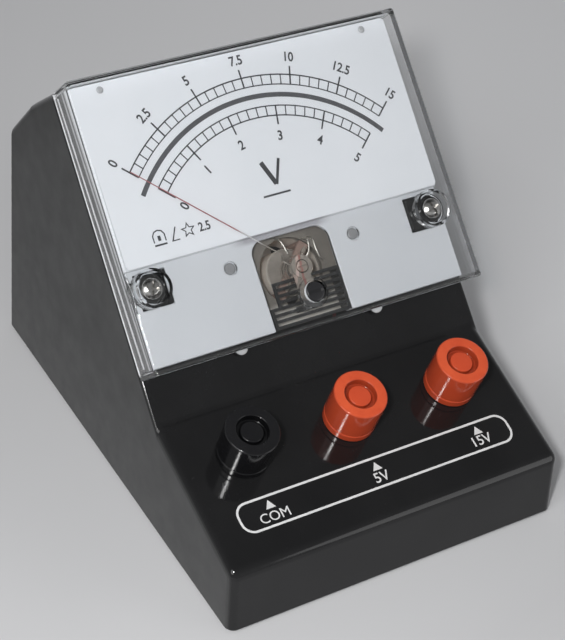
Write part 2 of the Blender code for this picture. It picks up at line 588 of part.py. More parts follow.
hairspring("upper_hairspring", 2.1, 3.5, 1)
hairspring("lower_hairspring", -16.4, 3.5, -1)

# ---- zero adjuster --------------------------------------------------------------
fork = [(-1.7, -8.6), (-0.8, -8.6), (-0.8, -5.0), (0.8, -5.0), (0.8, -8.6), (1.7, -8.6), (1.7, -4.2), (1.2, -3.6)]
fork += [(3.0 * math.cos(a), 3.0 * math.sin(a)) for a in
         [math.radians(-66 + 312 * k / 14) for k in range(15)]]
fork += [(-1.2, -3.6), (-1.7, -4.2)]
add("zero_lever", outline_mesh("zero_lever", [fork, circle(1.8, segments=16)], 6.5, 7.0), core_frame, ALUMINIUM)
zero = turned("zero_screw", [(0, 10.9), (2.3, 10.9), (2.6, 10.6), (2.6, 9.6), (1.5, 9.6), (1.5, 7.4), (0, 7.4)],
              zero_axis, DARK, 20)
join(zero, round_mesh("join_zero_pin", 0.45, 6.25, 7.6, segments=10), zero_axis, (0, PIN_OFFSET, 0))
cut(zero, box_mesh("cut_zero_slot", -2.0, 2.0, -0.4, 0.4, 10.2, 12), zero_axis)

# ---- terminals ------------------------------------------------------------------
for label, x in TERMINAL_X:
    at = (x, TERMINAL_S, 0)
    colour = DARK if label == "com" else RED
    turned("terminal_collar_" + label,
           [(CAP_R, 2.3), (CAP_R, GAP), (2.9, GAP), (2.9, -4.5), (2.3, -4.5), (2.3, 2.3)],
           panel_frame, colour, 24, closed=True, location=at)
    turned("terminal_stud_" + label,
           [(0, 9.0), (1.6, 9.0), (2.0, 8.6), (2.0, 3.4), (4.4, 3.4), (4.4, 2.6), (2.0, 2.6), (2.0, -11.0),
            (0, -11.0)], panel_frame, BRASS, 16, location=at)
    turned("clamp_washer_" + label, [(4.9, 4.4), (4.9, 3.7), (2.35, 3.7), (2.35, 4.4)], panel_frame, BRASS, 20,
           closed=True, location=at)
    turned("terminal_cap_" + label,
           [(0, 11.2), (3.0, 11.2), (3.0, 9.8), (4.15, 9.8), (4.15, CAP_TOP), (6.5, CAP_TOP), (CAP_R, 11.5),
            (CAP_R, CAP_BOTTOM), (5.2, CAP_BOTTOM), (5.2, 4.8), (2.25, 4.8), (2.25, 9.3), (0, 9.3)],
           panel_frame, colour, 24, location=at)
    add("terminal_nut_" + label,
        outline_mesh("terminal_nut_" + label, [circle(4.0, segments=6), circle(2.3, segments=14)], -7.7, -4.8),
        panel_frame, BRASS, at)
    tag = add("solder_tag_" + label,
              outline_mesh("solder_tag_" + label, [circle(4.2, segments=16), circle(2.3, segments=14)], -8.6, -8.0),
              panel_frame, STEEL, at)
    join(tag, outline_mesh("join_tongue_" + label, [rounded_rect(-1.6, 1.6, -8.0, -3.4, 1.0, 2), circle(0.6, 0, -6.6, 8)],
                           -8.6, -8.0), panel_frame, at)

# ---- multiplier resistors and internal leads -----------------------------------------
for name, x_mid in (("multiplier_resistor_5v", 8.2), ("multiplier_resistor_15v", 22.8)):
    resistor = turned(name, [(0, 6.5), (0.35, 6.5), (0.35, 3.4), (1.8, 3.1), (1.8, -3.1), (0.35, -3.4),
                             (0.35, -6.5), (0, -6.5)], panel_frame, RESISTOR, 12, location=(x_mid, 23.0, -9.3))
    resistor.rotation_euler = (0, math.pi / 2, 0)
plus_route = smooth_route([(15.5, 26.0, 16.0), (15.7, 32.0, 11.5), (15.2, 45.0, 12.5), (13.8, 55.0, 25.0),
                           (12.8, 60.0, 37.5), (12.6, 60.2, 44.6)], 4)
add("meter_lead_plus", wire_mesh("meter_lead_plus", plus_route, 0.5, resolution=1), case_frame, LEAD_RED)
minus_route = smooth_route([(-31.0, 25.5, 15.2), (-30.6, 31.0, 11.0), (-27.0, 45.0, 11.5), (-20.0, 58.0, 20.0),
                            (-14.0, 68.5, 33.0), (-12.2, 73.0, 40.2)], 4)
add("meter_lead_minus", wire_mesh("meter_lead_minus", minus_route, 0.5, resolution=1), case_frame, LEAD_BLACK)
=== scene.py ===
"""Looks of the desk voltmeter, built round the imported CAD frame.

Lengths in the helpers are millimetres in one of three local frames: the case
(X across, Y back, Z up), the dial face and the terminal panel (both X across,
Y up the slope, Z out of the face). Each piece keeps its frame as its matrix.
"""

import math

import bmesh
import bpy
from mathutils import Matrix, Vector


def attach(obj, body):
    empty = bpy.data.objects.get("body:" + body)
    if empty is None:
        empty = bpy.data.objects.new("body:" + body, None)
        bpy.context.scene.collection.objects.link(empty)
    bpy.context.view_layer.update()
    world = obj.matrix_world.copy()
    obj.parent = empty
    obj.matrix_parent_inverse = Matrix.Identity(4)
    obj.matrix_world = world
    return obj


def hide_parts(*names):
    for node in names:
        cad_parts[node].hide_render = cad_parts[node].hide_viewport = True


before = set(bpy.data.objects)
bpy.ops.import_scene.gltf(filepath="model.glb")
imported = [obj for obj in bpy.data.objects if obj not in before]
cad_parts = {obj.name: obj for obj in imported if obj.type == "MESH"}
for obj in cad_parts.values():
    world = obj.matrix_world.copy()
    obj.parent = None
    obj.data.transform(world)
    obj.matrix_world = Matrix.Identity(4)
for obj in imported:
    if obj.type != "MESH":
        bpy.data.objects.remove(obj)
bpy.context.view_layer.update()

MM = 0.001

# ---- local frames ---------------------------------------------------------------
CASE_W, CASE_D = 98.0, 132.2
DRAFT = 0.014
WALL = 2.5
FRONT_TOP, BEND, APEX = (1.2, 18.2), (42.7, 32.1), (104.8, 92.7)
SHOULDER, REAR_TOP = (118.9, 80.9), (131.5, 66.4)
DIAL_ANGLE = math.atan2(APEX[1] - BEND[1], APEX[0] - BEND[0])
PANEL_ANGLE = math.atan2(BEND[1] - FRONT_TOP[1], BEND[0] - FRONT_TOP[0])


def shift(x, y, z):
    return Matrix.Translation(Vector((x, y, z)) * MM)


CASE = shift(0, -CASE_D / 2, 1.2)
DIAL = CASE @ shift(0, *BEND) @ Matrix.Rotation(DIAL_ANGLE, 4, 'X')
PANEL = CASE @ shift(0, *FRONT_TOP) @ Matrix.Rotation(PANEL_ANGLE, 4, 'X')
PIVOT_S, SWEEP = 27.4, 95.0
PIVOT = DIAL @ shift(0, PIVOT_S, 0) @ Matrix.Rotation(math.radians(SWEEP / 2), 4, 'Z')
ZERO_S = 20.13
ZERO = DIAL @ shift(0, ZERO_S, 0)
TERMINAL_X = (("com", -31.0), ("5v", 0.0), ("15v", 31.0))
TERMINAL_S = 29.2
POST = (35.65, 43.9, 28.0, 36.6)
COVER_WALL = 1.0
COVER_SCREW = (41.4, 32.4)
MASK_SCREW = (18.2, 32.0)
DIAL_PIN = (38.2, 83.2)
PLATE_TOP = 6.6
PLATE_S0, PLATE_S1 = 38.3, 85.1
NEEDLE_H = 7.3
GAP = 0.3


# ---- node helpers for materials ---------------------------------------------------
class Tree:
    """Short-hand for building one material's nodes."""

    def __init__(self, name):
        self.mat = bpy.data.materials.new(name)
        self.mat.use_nodes = True
        self.nodes = self.mat.node_tree.nodes
        self.links = self.mat.node_tree.links
        self.bsdf = self.nodes["Principled BSDF"]
        self.out = self.nodes["Material Output"]
        coord = self.nodes.new("ShaderNodeTexCoord")
        self.coord = coord.outputs["Object"]

    def node(self, kind, **values):
        n = self.nodes.new(kind)
        for key, value in values.items():
            setattr(n, key, value)
        return n

    def link(self, a, b):
        self.links.new(a, b)

    def stretch(self, x, y, z):
        m = self.node("ShaderNodeMapping")
        m.inputs["Scale"].default_value = (x, y, z)
        self.link(self.coord, m.inputs["Vector"])
        return m.outputs["Vector"]

    def noise(self, scale, detail=3.0, rough=0.55, vector=None):
        n = self.node("ShaderNodeTexNoise")
        n.inputs["Scale"].default_value = scale
        n.inputs["Detail"].default_value = detail
        n.inputs["Roughness"].default_value = rough
        self.link(vector or self.coord, n.inputs["Vector"])
        return n.outputs["Fac"]

    def spread(self, value, low, high, from_low=0.3, from_high=0.7):
        m = self.node("ShaderNodeMapRange")
        m.inputs["From Min"].default_value = from_low
        m.inputs["From Max"].default_value = from_high
        m.inputs["To Min"].default_value = low
        m.inputs["To Max"].default_value = high
        self.link(value, m.inputs["Value"])
        return m.outputs["Result"]

    def mix(self, factor, a, b):
        m = self.node("ShaderNodeMix", data_type='RGBA')
        sockets = [s for s in m.inputs if s.type == 'RGBA']
        for socket, value in zip(sockets, (a, b)):
            if isinstance(value, tuple):
                socket.default_value = (*value, 1.0)
            else:
                self.link(value, socket)
        factor_socket = [s for s in m.inputs if s.name == "Factor" and s.type == 'VALUE'][0]
        if isinstance(factor, float):
            factor_socket.default_value = factor
        else:
            self.link(factor, factor_socket)
        return [s for s in m.outputs if s.type == 'RGBA'][0]

    def blend(self, factor, a, b):
        """Mix of two numbers or sockets by a factor socket."""
        m = self.node("ShaderNodeMix", data_type='FLOAT')
        sockets = [s for s in m.inputs if s.type == 'VALUE']
        self.link(factor, sockets[0])
        for socket, value in zip(sockets[1:3], (a, b)):
            if isinstance(value, (int, float)):
                socket.default_value = value
            else:
                self.link(value, socket)
        return [s for s in m.outputs if s.type == 'VALUE'][0]

    def maths(self, operation, a, b=None):
        m = self.node("ShaderNodeMath", operation=operation)
        for socket, value in zip(m.inputs, (a, b)):
            if value is None:
                continue
            if isinstance(value, (int, float)):
                socket.default_value = value
            else:
                self.link(value, socket)
        return m.outputs["Value"]

    def along(self, direction, offset):
        """Distance in metres from a plane, measured in the piece's own coordinates."""
        m = self.node("ShaderNodeVectorMath", operation='DOT_PRODUCT')
        self.link(self.coord, m.inputs[0])
        m.inputs[1].default_value = direction
        return self.maths('SUBTRACT', m.outputs["Value"], offset)

    def normal_x(self):
        geometry = self.node("ShaderNodeNewGeometry")
        split = self.node("ShaderNodeSeparateXYZ")
        self.link(geometry.outputs["Normal"], split.inputs["Vector"])
        return self.maths('ABSOLUTE', split.outputs["X"])

    def bump(self, height, strength, distance):
        b = self.node("ShaderNodeBump")
        b.inputs["Strength"].default_value = strength
        b.inputs["Distance"].default_value = distance
        self.link(height, b.inputs["Height"])
        self.link(b.outputs["Normal"], self.bsdf.inputs["Normal"])
        return b

    def set(self, **values):
        for key, value in values.items():
            self.bsdf.inputs[key.replace("_", " ")].default_value = value


def shade(colour, factor):
    return tuple(c * factor for c in colour)


def plastic(name, colour, rough=(0.25, 0.35), vary=0.85, grain=1400.0, bump=0.05, distance=0.0001, blotch=60.0):
    """Moulded or painted surface: faint blotches of colour, fine grain, uneven gloss."""
    t = Tree(name)
    big = t.spread(t.noise(blotch, 4.0), 0.0, 1.0)
    fine = t.noise(grain, 2.0)
    t.link(t.mix(big, shade(colour, vary), colour), t.bsdf.inputs["Base Color"])
    t.link(t.spread(t.noise(blotch * 3.1, 5.0), *rough), t.bsdf.inputs["Roughness"])
    t.bump(fine, bump, distance)
    return t


def metal(name, colour, rough=(0.2, 0.35), vary=0.8, grain=(900.0, 900.0, 900.0), bump=0.08, tarnish=None):
    """Bare metal: stretched brushing marks and a little tarnish."""
    t = Tree(name)
    lines = t.noise(1.0, 3.0, vector=t.stretch(*grain))
    cloud = t.noise(130.0, 5.0)
    base = t.mix(t.spread(lines, 0.0, 1.0), shade(colour, vary), colour)
    if tarnish:
        base = t.mix(t.spread(cloud, 0.0, 0.7, 0.45, 0.75), base, tarnish)
    t.link(base, t.bsdf.inputs["Base Color"])
    t.link(t.spread(cloud, *rough), t.bsdf.inputs["Roughness"])
    t.set(Metallic=1.0)
    t.bump(lines, bump, 0.0001)
    return t


# ---- materials ----------------------------------------------------------------------
def case_material():
    """Black moulding: polished terminal panel and front, satin grained sides and back. On the satin faces the grey
    carries painted light, lighter near the bottom, and painted shade, darker toward the top rear.
    """
    t = Tree("case_black")
    geometry = t.node("ShaderNodeNewGeometry")
    split = t.node("ShaderNodeSeparateXYZ")
    t.link(geometry.outputs["Normal"], split.inputs["Vector"])
    side = t.spread(t.maths('ABSOLUTE', split.outputs["X"]), 0.0, 1.0, 0.75, 0.97)
    back = t.spread(split.outputs["Y"], 0.0, 1.0, 0.3, 0.6)
    satin = t.maths('MAXIMUM', side, t.maths('MULTIPLY', back, 0.25))
    cloud = t.noise(45.0, 5.0)
    dust = t.noise(420.0, 6.0, 0.7)
    grain = t.noise(2600.0, 2.0)
    base = t.mix(t.spread(cloud, 0.0, 1.0), (0.0085, 0.0085, 0.009), (0.0125, 0.0125, 0.013))
    grey = t.mix(t.spread(cloud, 0.0, 1.0), (0.027, 0.0275, 0.0275), (0.036, 0.0365, 0.0365))
    # painted light: the satin grey is lighter near the bottom of the case
    low = t.spread(t.along((0, 0, 1), 0.0), 1.0, 0.0, 0.004, 0.034)
    grey = t.mix(low, grey, (0.045, 0.0455, 0.0455))
    # painted shade: the satin grey darkens toward the top rear
    rear = t.spread(t.along((0, 0.6, 0.8), 0.0), 0.0, 1.0, 0.120, 0.136)
    grey = t.mix(rear, grey, (0.014, 0.0142, 0.0142))
    base = t.mix(satin, base, grey)
    specks = t.spread(dust, 0.0, 0.35, 0.66, 0.8)
    base = t.mix(specks, base, (0.06, 0.06, 0.06))
    t.link(base, t.bsdf.inputs["Base Color"])
    gloss = t.spread(t.noise(90.0, 4.0), 0.06, 0.11)
    dull = t.spread(t.noise(160.0, 5.0), 0.36, 0.46)
    t.link(t.blend(satin, gloss, dull), t.bsdf.inputs["Roughness"])
    height = t.blend(satin, t.spread(cloud, 0.49, 0.51), grain)
    t.bump(height, 0.16, 0.0001)
    t.set(IOR=1.43)
    return t.mat


def cover_material():
    """Clear acrylic. Shadow and diffuse rays pass straight, so the dial stays lit."""
    t = Tree("cover_clear")
    smear = t.noise(55.0, 5.0, 0.6)
    tint = t.mix(t.spread(smear, 0.0, 1.0), (0.955, 0.965, 0.97), (0.985, 0.99, 0.992))
    wall = t.spread(t.normal_x(), 0.0, 1.0, 0.7, 0.95)
    t.link(t.mix(wall, tint, (0.975, 0.98, 0.985)), t.bsdf.inputs["Base Color"])
    t.link(t.spread(smear, 0.015, 0.05), t.bsdf.inputs["Roughness"])
    t.set(IOR=1.49)
    t.bsdf.inputs["Transmission Weight"].default_value = 1.0
    t.bump(t.noise(35.0, 2.0), 0.02, 0.0002)
    path = t.node("ShaderNodeLightPath")
    clear = t.node("ShaderNodeBsdfTransparent")
    clear.inputs["Color"].default_value = (0.93, 0.94, 0.945, 1.0)
    straight = t.maths('MAXIMUM', path.outputs["Is Shadow Ray"], path.outputs["Is Diffuse Ray"])
    mixer = t.node("ShaderNodeMixShader")
    t.link(straight, mixer.inputs[0])
    t.link(t.bsdf.outputs[0], mixer.inputs[1])
    t.link(clear.outputs[0], mixer.inputs[2])
    t.link(mixer.outputs[0], t.out.inputs["Surface"])
    return t.mat


def cap_material(name, colour, deep, rough):
    """Glossy coloured plastic, a little translucent, with handling marks. Painted shade darkens the recessed hub, the
    channel round it, and the outer edge and side.
    """
    t = Tree(name)
    cloud = t.noise(140.0, 5.0)
    rub = t.noise(600.0, 5.0, 0.65)
    base = t.mix(t.spread(cloud, 0.0, 1.0), deep, colour)
    base = t.mix(t.spread(rub, 0.0, 0.25, 0.6, 0.8), base, tuple(min(1.0, c * 1.15 + 0.03) for c in colour))
    split = t.node("ShaderNodeSeparateXYZ")
    t.link(t.coord, split.inputs["Vector"])
    radius = t.maths('SQRT', t.maths('ADD', t.maths('MULTIPLY', split.outputs["X"], split.outputs["X"]),
                                     t.maths('MULTIPLY', split.outputs["Y"], split.outputs["Y"])))
    # painted shade: the recessed hub, the channel round it and the outer edge and side of the cap are darkened here
    groove_shade = t.maths('MULTIPLY', t.spread(radius, 0.0, 1.0, 0.0029, 0.0031), t.spread(radius, 1.0, 0.0, 0.0042, 0.0044))
    base = t.mix(t.spread(radius, 0.55, 0.0, 0.0029, 0.0032), base, shade(deep, 0.95))
    base = t.mix(t.maths('MULTIPLY', groove_shade, 0.75), base, shade(deep, 0.45))
    base = t.mix(t.spread(radius, 0.0, 0.8, 0.0066, 0.0070), base, shade(deep, 0.62))
    t.link(base, t.bsdf.inputs["Base Color"])
    t.link(t.spread(rub, *rough), t.bsdf.inputs["Roughness"])
    t.bump(t.noise(1500.0, 3.0), 0.05, 0.0001)
    t.set(IOR=1.42)
    return t.mat


def rim_material():
    """Underside of the cover's walls: pale left and top, grey right, black front and top edge. These are painted light
    and shade: the pale is a painted highlight, the grey and black are painted shade.
    """
    t = Tree("cover_rim_painted_light")
    cloud = t.noise(300.0, 4.0)
    # painted highlight: the pale tone; the grey on the right and the black under the top edge and the front are painted
    # shade
    tone = t.mix(t.spread(cloud, 0.0, 1.0), (0.80, 0.81, 0.82), (0.88, 0.88, 0.89))
    tone = t.mix(t.spread(t.along((1, 0, 0), 0.0), 0.0, 1.0, 0.0440, 0.0455), tone, (0.46, 0.46, 0.47))
    tone = t.mix(t.spread(t.along((0, 1, 0), 0.0), 0.0, 1.0, 0.08590, 0.08596), tone, (0.012, 0.012, 0.012))
    tone = t.mix(t.spread(t.along((0, 1, 0), 0.0), 1.0, 0.0, 0.0125, 0.0135), tone, (0.015, 0.015, 0.015))
    t.link(tone, t.bsdf.inputs["Base Color"])
    t.link(t.spread(t.noise(900.0, 3.0), 0.35, 0.5), t.bsdf.inputs["Roughness"])
    t.bump(t.noise(1500.0, 2.0), 0.1, 0.0001)
    return t.mat


def mask_material():
    """Pale grey moulding; its side walls carry painted shade and painted light as darker and lighter stripes along
    their height, and a strip above the window is darkened as painted shade.
    """
    t = Tree("mask_grey")
    cloud = t.noise(30.0, 4.0)
    base = t.mix(t.spread(cloud, 0.0, 1.0), (0.575, 0.585, 0.61), (0.605, 0.615, 0.64))
    # painted light and shade: darker and lighter stripes up the side walls, by height
    ramp = t.node("ShaderNodeValToRGB")
    painted_light_bands = ramp.color_ramp
    stops = ((0.0, 0.010), (0.40, 0.010), (0.45, 0.60), (0.57, 0.60), (0.61, 0.020), (0.70, 0.020), (0.74, 0.55), (0.83, 0.55),
             (0.87, 0.90), (1.0, 0.90))
    while len(painted_light_bands.elements) < len(stops):
        painted_light_bands.elements.new(0.5)
    for element, (place, value) in zip(painted_light_bands.elements, stops):
        element.position = place
    for element, (place, value) in zip(painted_light_bands.elements, stops):
        element.color = (value, value, value * 1.02, 1.0)
    t.link(t.spread(t.along((0, 0, 1), 0.0), 0.0, 1.0, 0.0, 0.006), ramp.inputs["Fac"])
    # painted shade: a darker strip above the window, below the dial plate's edge
    window_top_shade = t.maths('MULTIPLY', t.spread(t.along((0, 1, 0), 0.0), 0.0, 1.0, 0.0362, 0.0372),
                  t.spread(t.maths('ABSOLUTE', t.along((1, 0, 0), -0.0015)), 0.85, 0.0, 0.0105, 0.0150))
    base = t.mix(window_top_shade, base, (0.33, 0.32, 0.345))
    t.link(t.mix(t.spread(t.normal_x(), 0.0, 1.0, 0.8, 0.9), base, ramp.outputs["Color"]), t.bsdf.inputs["Base Color"])
    t.link(t.spread(t.noise(93.0, 5.0), 0.38, 0.5), t.bsdf.inputs["Roughness"])
    t.bump(t.noise(900.0, 2.0), 0.06, 0.0001)
    return t.mat


def movement_material(name, light, dark, rough=(0.45, 0.6), metallic=0.15, blotch=260.0, streaks=False):
    """Dull lacquered metal inside the window. Painted light and shade: towards the foot of the dial the tone turns to
    the foot tone, lighter than the main tone on the plate, yoke, core and lever, darker on the bridge, jewel and
    spring; parts more than about 2 mm below the dial face are painted pale.

    With streaks, a pale and a dark red stroke run up it, as left by lacquer.
    """
    t = Tree(name)
    cloud = t.noise(blotch, 5.0, 0.6)
    lines = t.noise(1.0, 3.0, vector=t.stretch(500.0, 2200.0, 2200.0))
    base = t.mix(t.spread(cloud, 0.0, 1.0), shade(light, 0.78), light)
    base = t.mix(t.spread(lines, 0.0, 0.3, 0.35, 0.7), base, shade(light, 0.6))
    up = (0.0, math.cos(DIAL_ANGLE), math.sin(DIAL_ANGLE))
    origin = DIAL.translation
    start = origin.y * up[1] + origin.z * up[2]
    rise = t.along(up, start)
    if streaks:
        across = t.along((1, 0, 0), 0.0)
        climb = t.maths('SUBTRACT', rise, PIVOT_S * MM)
        for place, lean, width, colour in ((-0.0014, 0.33, 0.00045, (0.52, 0.39, 0.34)), (-0.0003, 0.1, 0.0003, (0.24, 0.075, 0.06))):
            gap = t.maths('ABSOLUTE', t.maths('SUBTRACT', across, t.maths('ADD', t.maths('MULTIPLY', climb, lean), place)))
            base = t.mix(t.spread(gap, 0.8, 0.0, width * 0.7, width * 1.3), base, colour)
    # painted light and shade: below about 19.5 mm up the dial the tone turns to the foot tone
    foot = t.spread(rise, 1.0, 0.0, 0.0185, 0.0205)
    # painted light: parts more than about 2 mm below the dial face turn pale
    out = (0.0, -up[2], up[1])
    painted_light_depth = t.along(out, origin.y * out[1] + origin.z * out[2])
    base = t.mix(t.spread(painted_light_depth, 1.0, 0.0, -0.0022, -0.0015), base, (0.82, 0.74, 0.66))
    t.link(t.mix(foot, base, dark), t.bsdf.inputs["Base Color"])
    t.link(t.spread(t.noise(900.0, 4.0), *rough), t.bsdf.inputs["Roughness"])
    t.set(Metallic=metallic)
    t.bump(lines, 0.1, 0.0001)
    return t.mat


def needle_material():
    """Red lacquer outside, bare pale metal near the pivot."""
    t = Tree("needle_paint")
    cloud = t.noise(200.0, 4.0)
    red = t.mix(t.spread(cloud, 0.0, 1.0), (0.30, 0.09, 0.10), (0.38, 0.13, 0.14))
    pale = t.mix(t.spread(cloud, 0.0, 1.0), (0.48, 0.475, 0.48), (0.55, 0.545, 0.55))
    reach = t.along((0, 1, 0), 0.0)
    pale = t.mix(t.spread(reach, 1.0, 0.0, 0.0115, 0.0145), pale, (0.25, 0.225, 0.195))
    t.link(t.mix(t.spread(reach, 0.0, 1.0, 0.0175, 0.0205), pale, red), t.bsdf.inputs["Base Color"])
    t.link(t.spread(t.noise(620.0, 4.0), 0.35, 0.5), t.bsdf.inputs["Roughness"])
    t.bump(t.noise(3000.0, 2.0), 0.03, 0.0001)
    return t.mat


CASE_BLACK = case_material()
CLEAR = cover_material()
RED = cap_material("cap_red", (0.73, 0.115, 0.042), (0.58, 0.072, 0.027), (0.08, 0.16))
CAP_BLACK = cap_material("cap_black", (0.011, 0.011, 0.012), (0.008, 0.008, 0.009), (0.08, 0.16))
MATTE_BLACK = plastic("black_moulding", (0.020, 0.020, 0.021), (0.35, 0.5), 0.7, bump=0.1).mat
LOUVRE = plastic("louvre_black", (0.006, 0.006, 0.006), (0.3, 0.45), 0.7, bump=0.04).mat
ZERO_BLACK = plastic("zero_screw_black", (0.020, 0.020, 0.022), (0.18, 0.3), 0.7, bump=0.06).mat
MASK = mask_material()
RIM_PAINTED_LIGHT = rim_material()
DIAL_WHITE = plastic("dial_paint", (0.80, 0.81, 0.84), (0.42, 0.55), 0.965, 1800.0, 0.05, blotch=25.0).mat
INK = plastic("dial_ink", (0.040, 0.040, 0.045), (0.4, 0.55), 0.75, 3000.0, 0.03, blotch=300.0).mat
INK_GREY = plastic("dial_ink_grey", (0.085, 0.085, 0.092), (0.4, 0.55), 0.8, 3000.0, 0.03, blotch=300.0).mat
PANEL_INK = plastic("panel_ink", (0.74, 0.74, 0.74), (0.4, 0.55), 0.88, 3000.0, 0.04, blotch=400.0).mat
NICKEL = metal("nickel", (0.62, 0.61, 0.59), (0.14, 0.3), 0.8, (1800.0, 1800.0, 1800.0), 0.05, (0.32, 0.31, 0.29)).mat
STEEL = metal("steel", (0.42, 0.42, 0.43), (0.25, 0.42), 0.75, (2400.0, 500.0, 2400.0), 0.08).mat
BRASS = metal("brass", (0.60, 0.44, 0.21), (0.25, 0.4), 0.8, (600.0, 2400.0, 2400.0), 0.08, (0.32, 0.2, 0.1)).mat
BRIDGE = movement_material("bridge_lacquer", (0.27, 0.24, 0.21), (0.05, 0.05, 0.05), streaks=True)
BRONZE = movement_material("movement_bronze", (0.215, 0.193, 0.167), (0.46, 0.43, 0.39))
YOKE = movement_material("yoke_iron", (0.31, 0.275, 0.24), (0.46, 0.44, 0.41))
CORE = movement_material("core_iron", (0.31, 0.275, 0.24), (0.46, 0.44, 0.41))
LEVER = movement_material("lever_metal", (0.25, 0.22, 0.19), (0.30, 0.29, 0.27), streaks=True)
SPRING = movement_material("spring_bronze", (0.28, 0.24, 0.20), (0.20, 0.17, 0.14))
COPPER = plastic("coil_winding", (0.28, 0.19, 0.155), (0.4, 0.55), 0.7, 5200.0, 0.2, blotch=300.0).mat
JEWEL = movement_material("jewel_lacquer", (0.26, 0.225, 0.19), (0.2, 0.2, 0.2), streaks=True)
SCREW_GREY = plastic("recessed_screw", (0.24, 0.24, 0.245), (0.5, 0.65), 0.8, 1500.0, 0.1, blotch=400.0).mat
PIN_GREY = plastic("pin_grey", (0.44, 0.44, 0.45), (0.4, 0.55), 0.85, 1500.0, 0.1, blotch=400.0).mat
WALL_HIGHLIGHT = plastic("wall_painted_highlight", (0.84, 0.84, 0.85), (0.4, 0.55), 0.88, 1500.0, 0.1, blotch=300.0).mat
DARK_METAL = metal("dark_metal", (0.10, 0.10, 0.10), (0.3, 0.45), 0.7, (1800.0, 1800.0, 1800.0), 0.05).mat
LUG_HIGHLIGHT = plastic("cover_lug_painted_highlight", (0.50, 0.50, 0.51), (0.25, 0.4), 0.8, 1500.0, 0.1, blotch=300.0).mat
COVER_HIGHLIGHT = plastic("cover_painted_highlight", (0.86, 0.87, 0.88), (0.25, 0.4), 0.93, 1500.0, 0.1, blotch=300.0).mat
ALUMINIUM = metal("aluminium", (0.62, 0.61, 0.58), (0.28, 0.42), 0.82, (400.0, 2200.0, 2200.0), 0.08).mat
NEEDLE = needle_material()
RUBBER = plastic("foot_rubber", (0.028, 0.028, 0.028), (0.7, 0.85), 0.7, 1500.0, 0.3).mat
RESISTOR = plastic("resistor_body", (0.50, 0.38, 0.24), (0.4, 0.5), 0.85).mat
LEAD_BARE = metal("lead_tinned", (0.62, 0.59, 0.54), (0.35, 0.5), 0.8, (900.0, 900.0, 900.0), 0.08).mat
LEAD_RED = plastic("lead_red", (0.42, 0.04, 0.03), (0.35, 0.5), 0.8).mat
LEAD_BLACK = plastic("lead_black", (0.025, 0.025, 0.025), (0.35, 0.5), 0.7).mat


# ---- mesh helpers ------------------------------------------------------------------
def new_mesh(name, bm, weld=1e-7):
    bmesh.ops.remove_doubles(bm, verts=bm.verts, dist=weld)
    bmesh.ops.recalc_face_normals(bm, faces=bm.faces)
    mesh = bpy.data.meshes.new(name)
    bm.to_mesh(mesh)
    bm.free()
    return mesh


def temp(name, mesh, matrix):
    obj = bpy.data.objects.new(name, mesh)
    bpy.context.scene.collection.objects.link(obj)
    obj.matrix_world = matrix
    return obj


def applied(obj):
    """Turns an object's modifiers into plain mesh."""
    bpy.context.view_layer.update()
    mesh = bpy.data.meshes.new_from_object(obj.evaluated_get(bpy.context.evaluated_depsgraph_get()))
    obj.modifiers.clear()
    obj.data = mesh


def carve(obj, steps):
    """Booleans in order: (operation, mesh, matrix), applied at once."""
    tools = []
    for i, (operation, mesh, matrix) in enumerate(steps):
        tool = temp("tool_%d" % i, mesh, matrix)
        tool.hide_render = True
        mod = obj.modifiers.new("cut_%d" % i, 'BOOLEAN')
        mod.operation = operation
        mod.solver = 'EXACT'
        mod.object = tool
        tools.append(tool)
    applied(obj)
    for tool in tools:
        bpy.data.objects.remove(tool, do_unlink=True)


def soften(obj, width, segments=4, angle=30.0):
    mod = obj.modifiers.new("edges", 'BEVEL')
    mod.width = width * MM
    mod.segments = segments
    mod.limit_method = 'ANGLE'
    mod.angle_limit = math.radians(angle)
    applied(obj)


def piece(obj, material, body, nodes=(), smooth=32.0, weighted=False):
    """Finishes a piece: shading, material, and the body it rides on."""
    mesh = obj.data
    mesh.materials.clear()
    mesh.materials.append(material)
    for p in mesh.polygons:
        p.material_index = 0
    mesh.shade_smooth()
    mesh.set_sharp_from_angle(angle=math.radians(smooth))
    if weighted:
        mod = obj.modifiers.new("flat_faces", 'WEIGHTED_NORMAL')
        mod.keep_sharp = True
        mod.weight = 60
    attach(obj, body)
    if nodes:
        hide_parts(*nodes)
    return obj


def paint(names, material):
    for name in names if isinstance(names, (list, tuple)) else [names]:
        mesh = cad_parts[name].data
        mesh.materials.clear()
        mesh.materials.append(material)
        for p in mesh.polygons:
            p.material_index = 0


def add_prism(bm, outline, z0, z1, matrix=None):
    """A closed flat solid from one convex or simple outline (mm)."""
    matrix = matrix or Matrix.Identity(4)
    low = [bm.verts.new(matrix @ (Vector((x, y, z0)) * MM)) for x, y in outline]
    high = [bm.verts.new(matrix @ (Vector((x, y, z1)) * MM)) for x, y in outline]
    n = len(outline)
    bm.faces.new(low[::-1])
    bm.faces.new(high)
    for i in range(n):
        j = (i + 1) % n
        bm.faces.new((low[i], low[j], high[j], high[i]))


def add_band(bm, inner, outer, z0, z1, closed=False):
    """A closed flat strip between two point rows (mm)."""
    rows = [[bm.verts.new(Vector((x, y, z)) * MM) for x, y in row]
            for row, z in ((inner, z0), (outer, z0), (outer, z1), (inner, z1))]
    n = len(inner)
    for i in range(n if closed else n - 1):
        j = (i + 1) % n
        for a, b in ((0, 1), (1, 2), (2, 3), (3, 0)):
            bm.faces.new((rows[a][i], rows[a][j], rows[b][j], rows[b][i]))
    if not closed:
        bm.faces.new([row[0] for row in rows])
        bm.faces.new([row[-1] for row in rows][::-1])


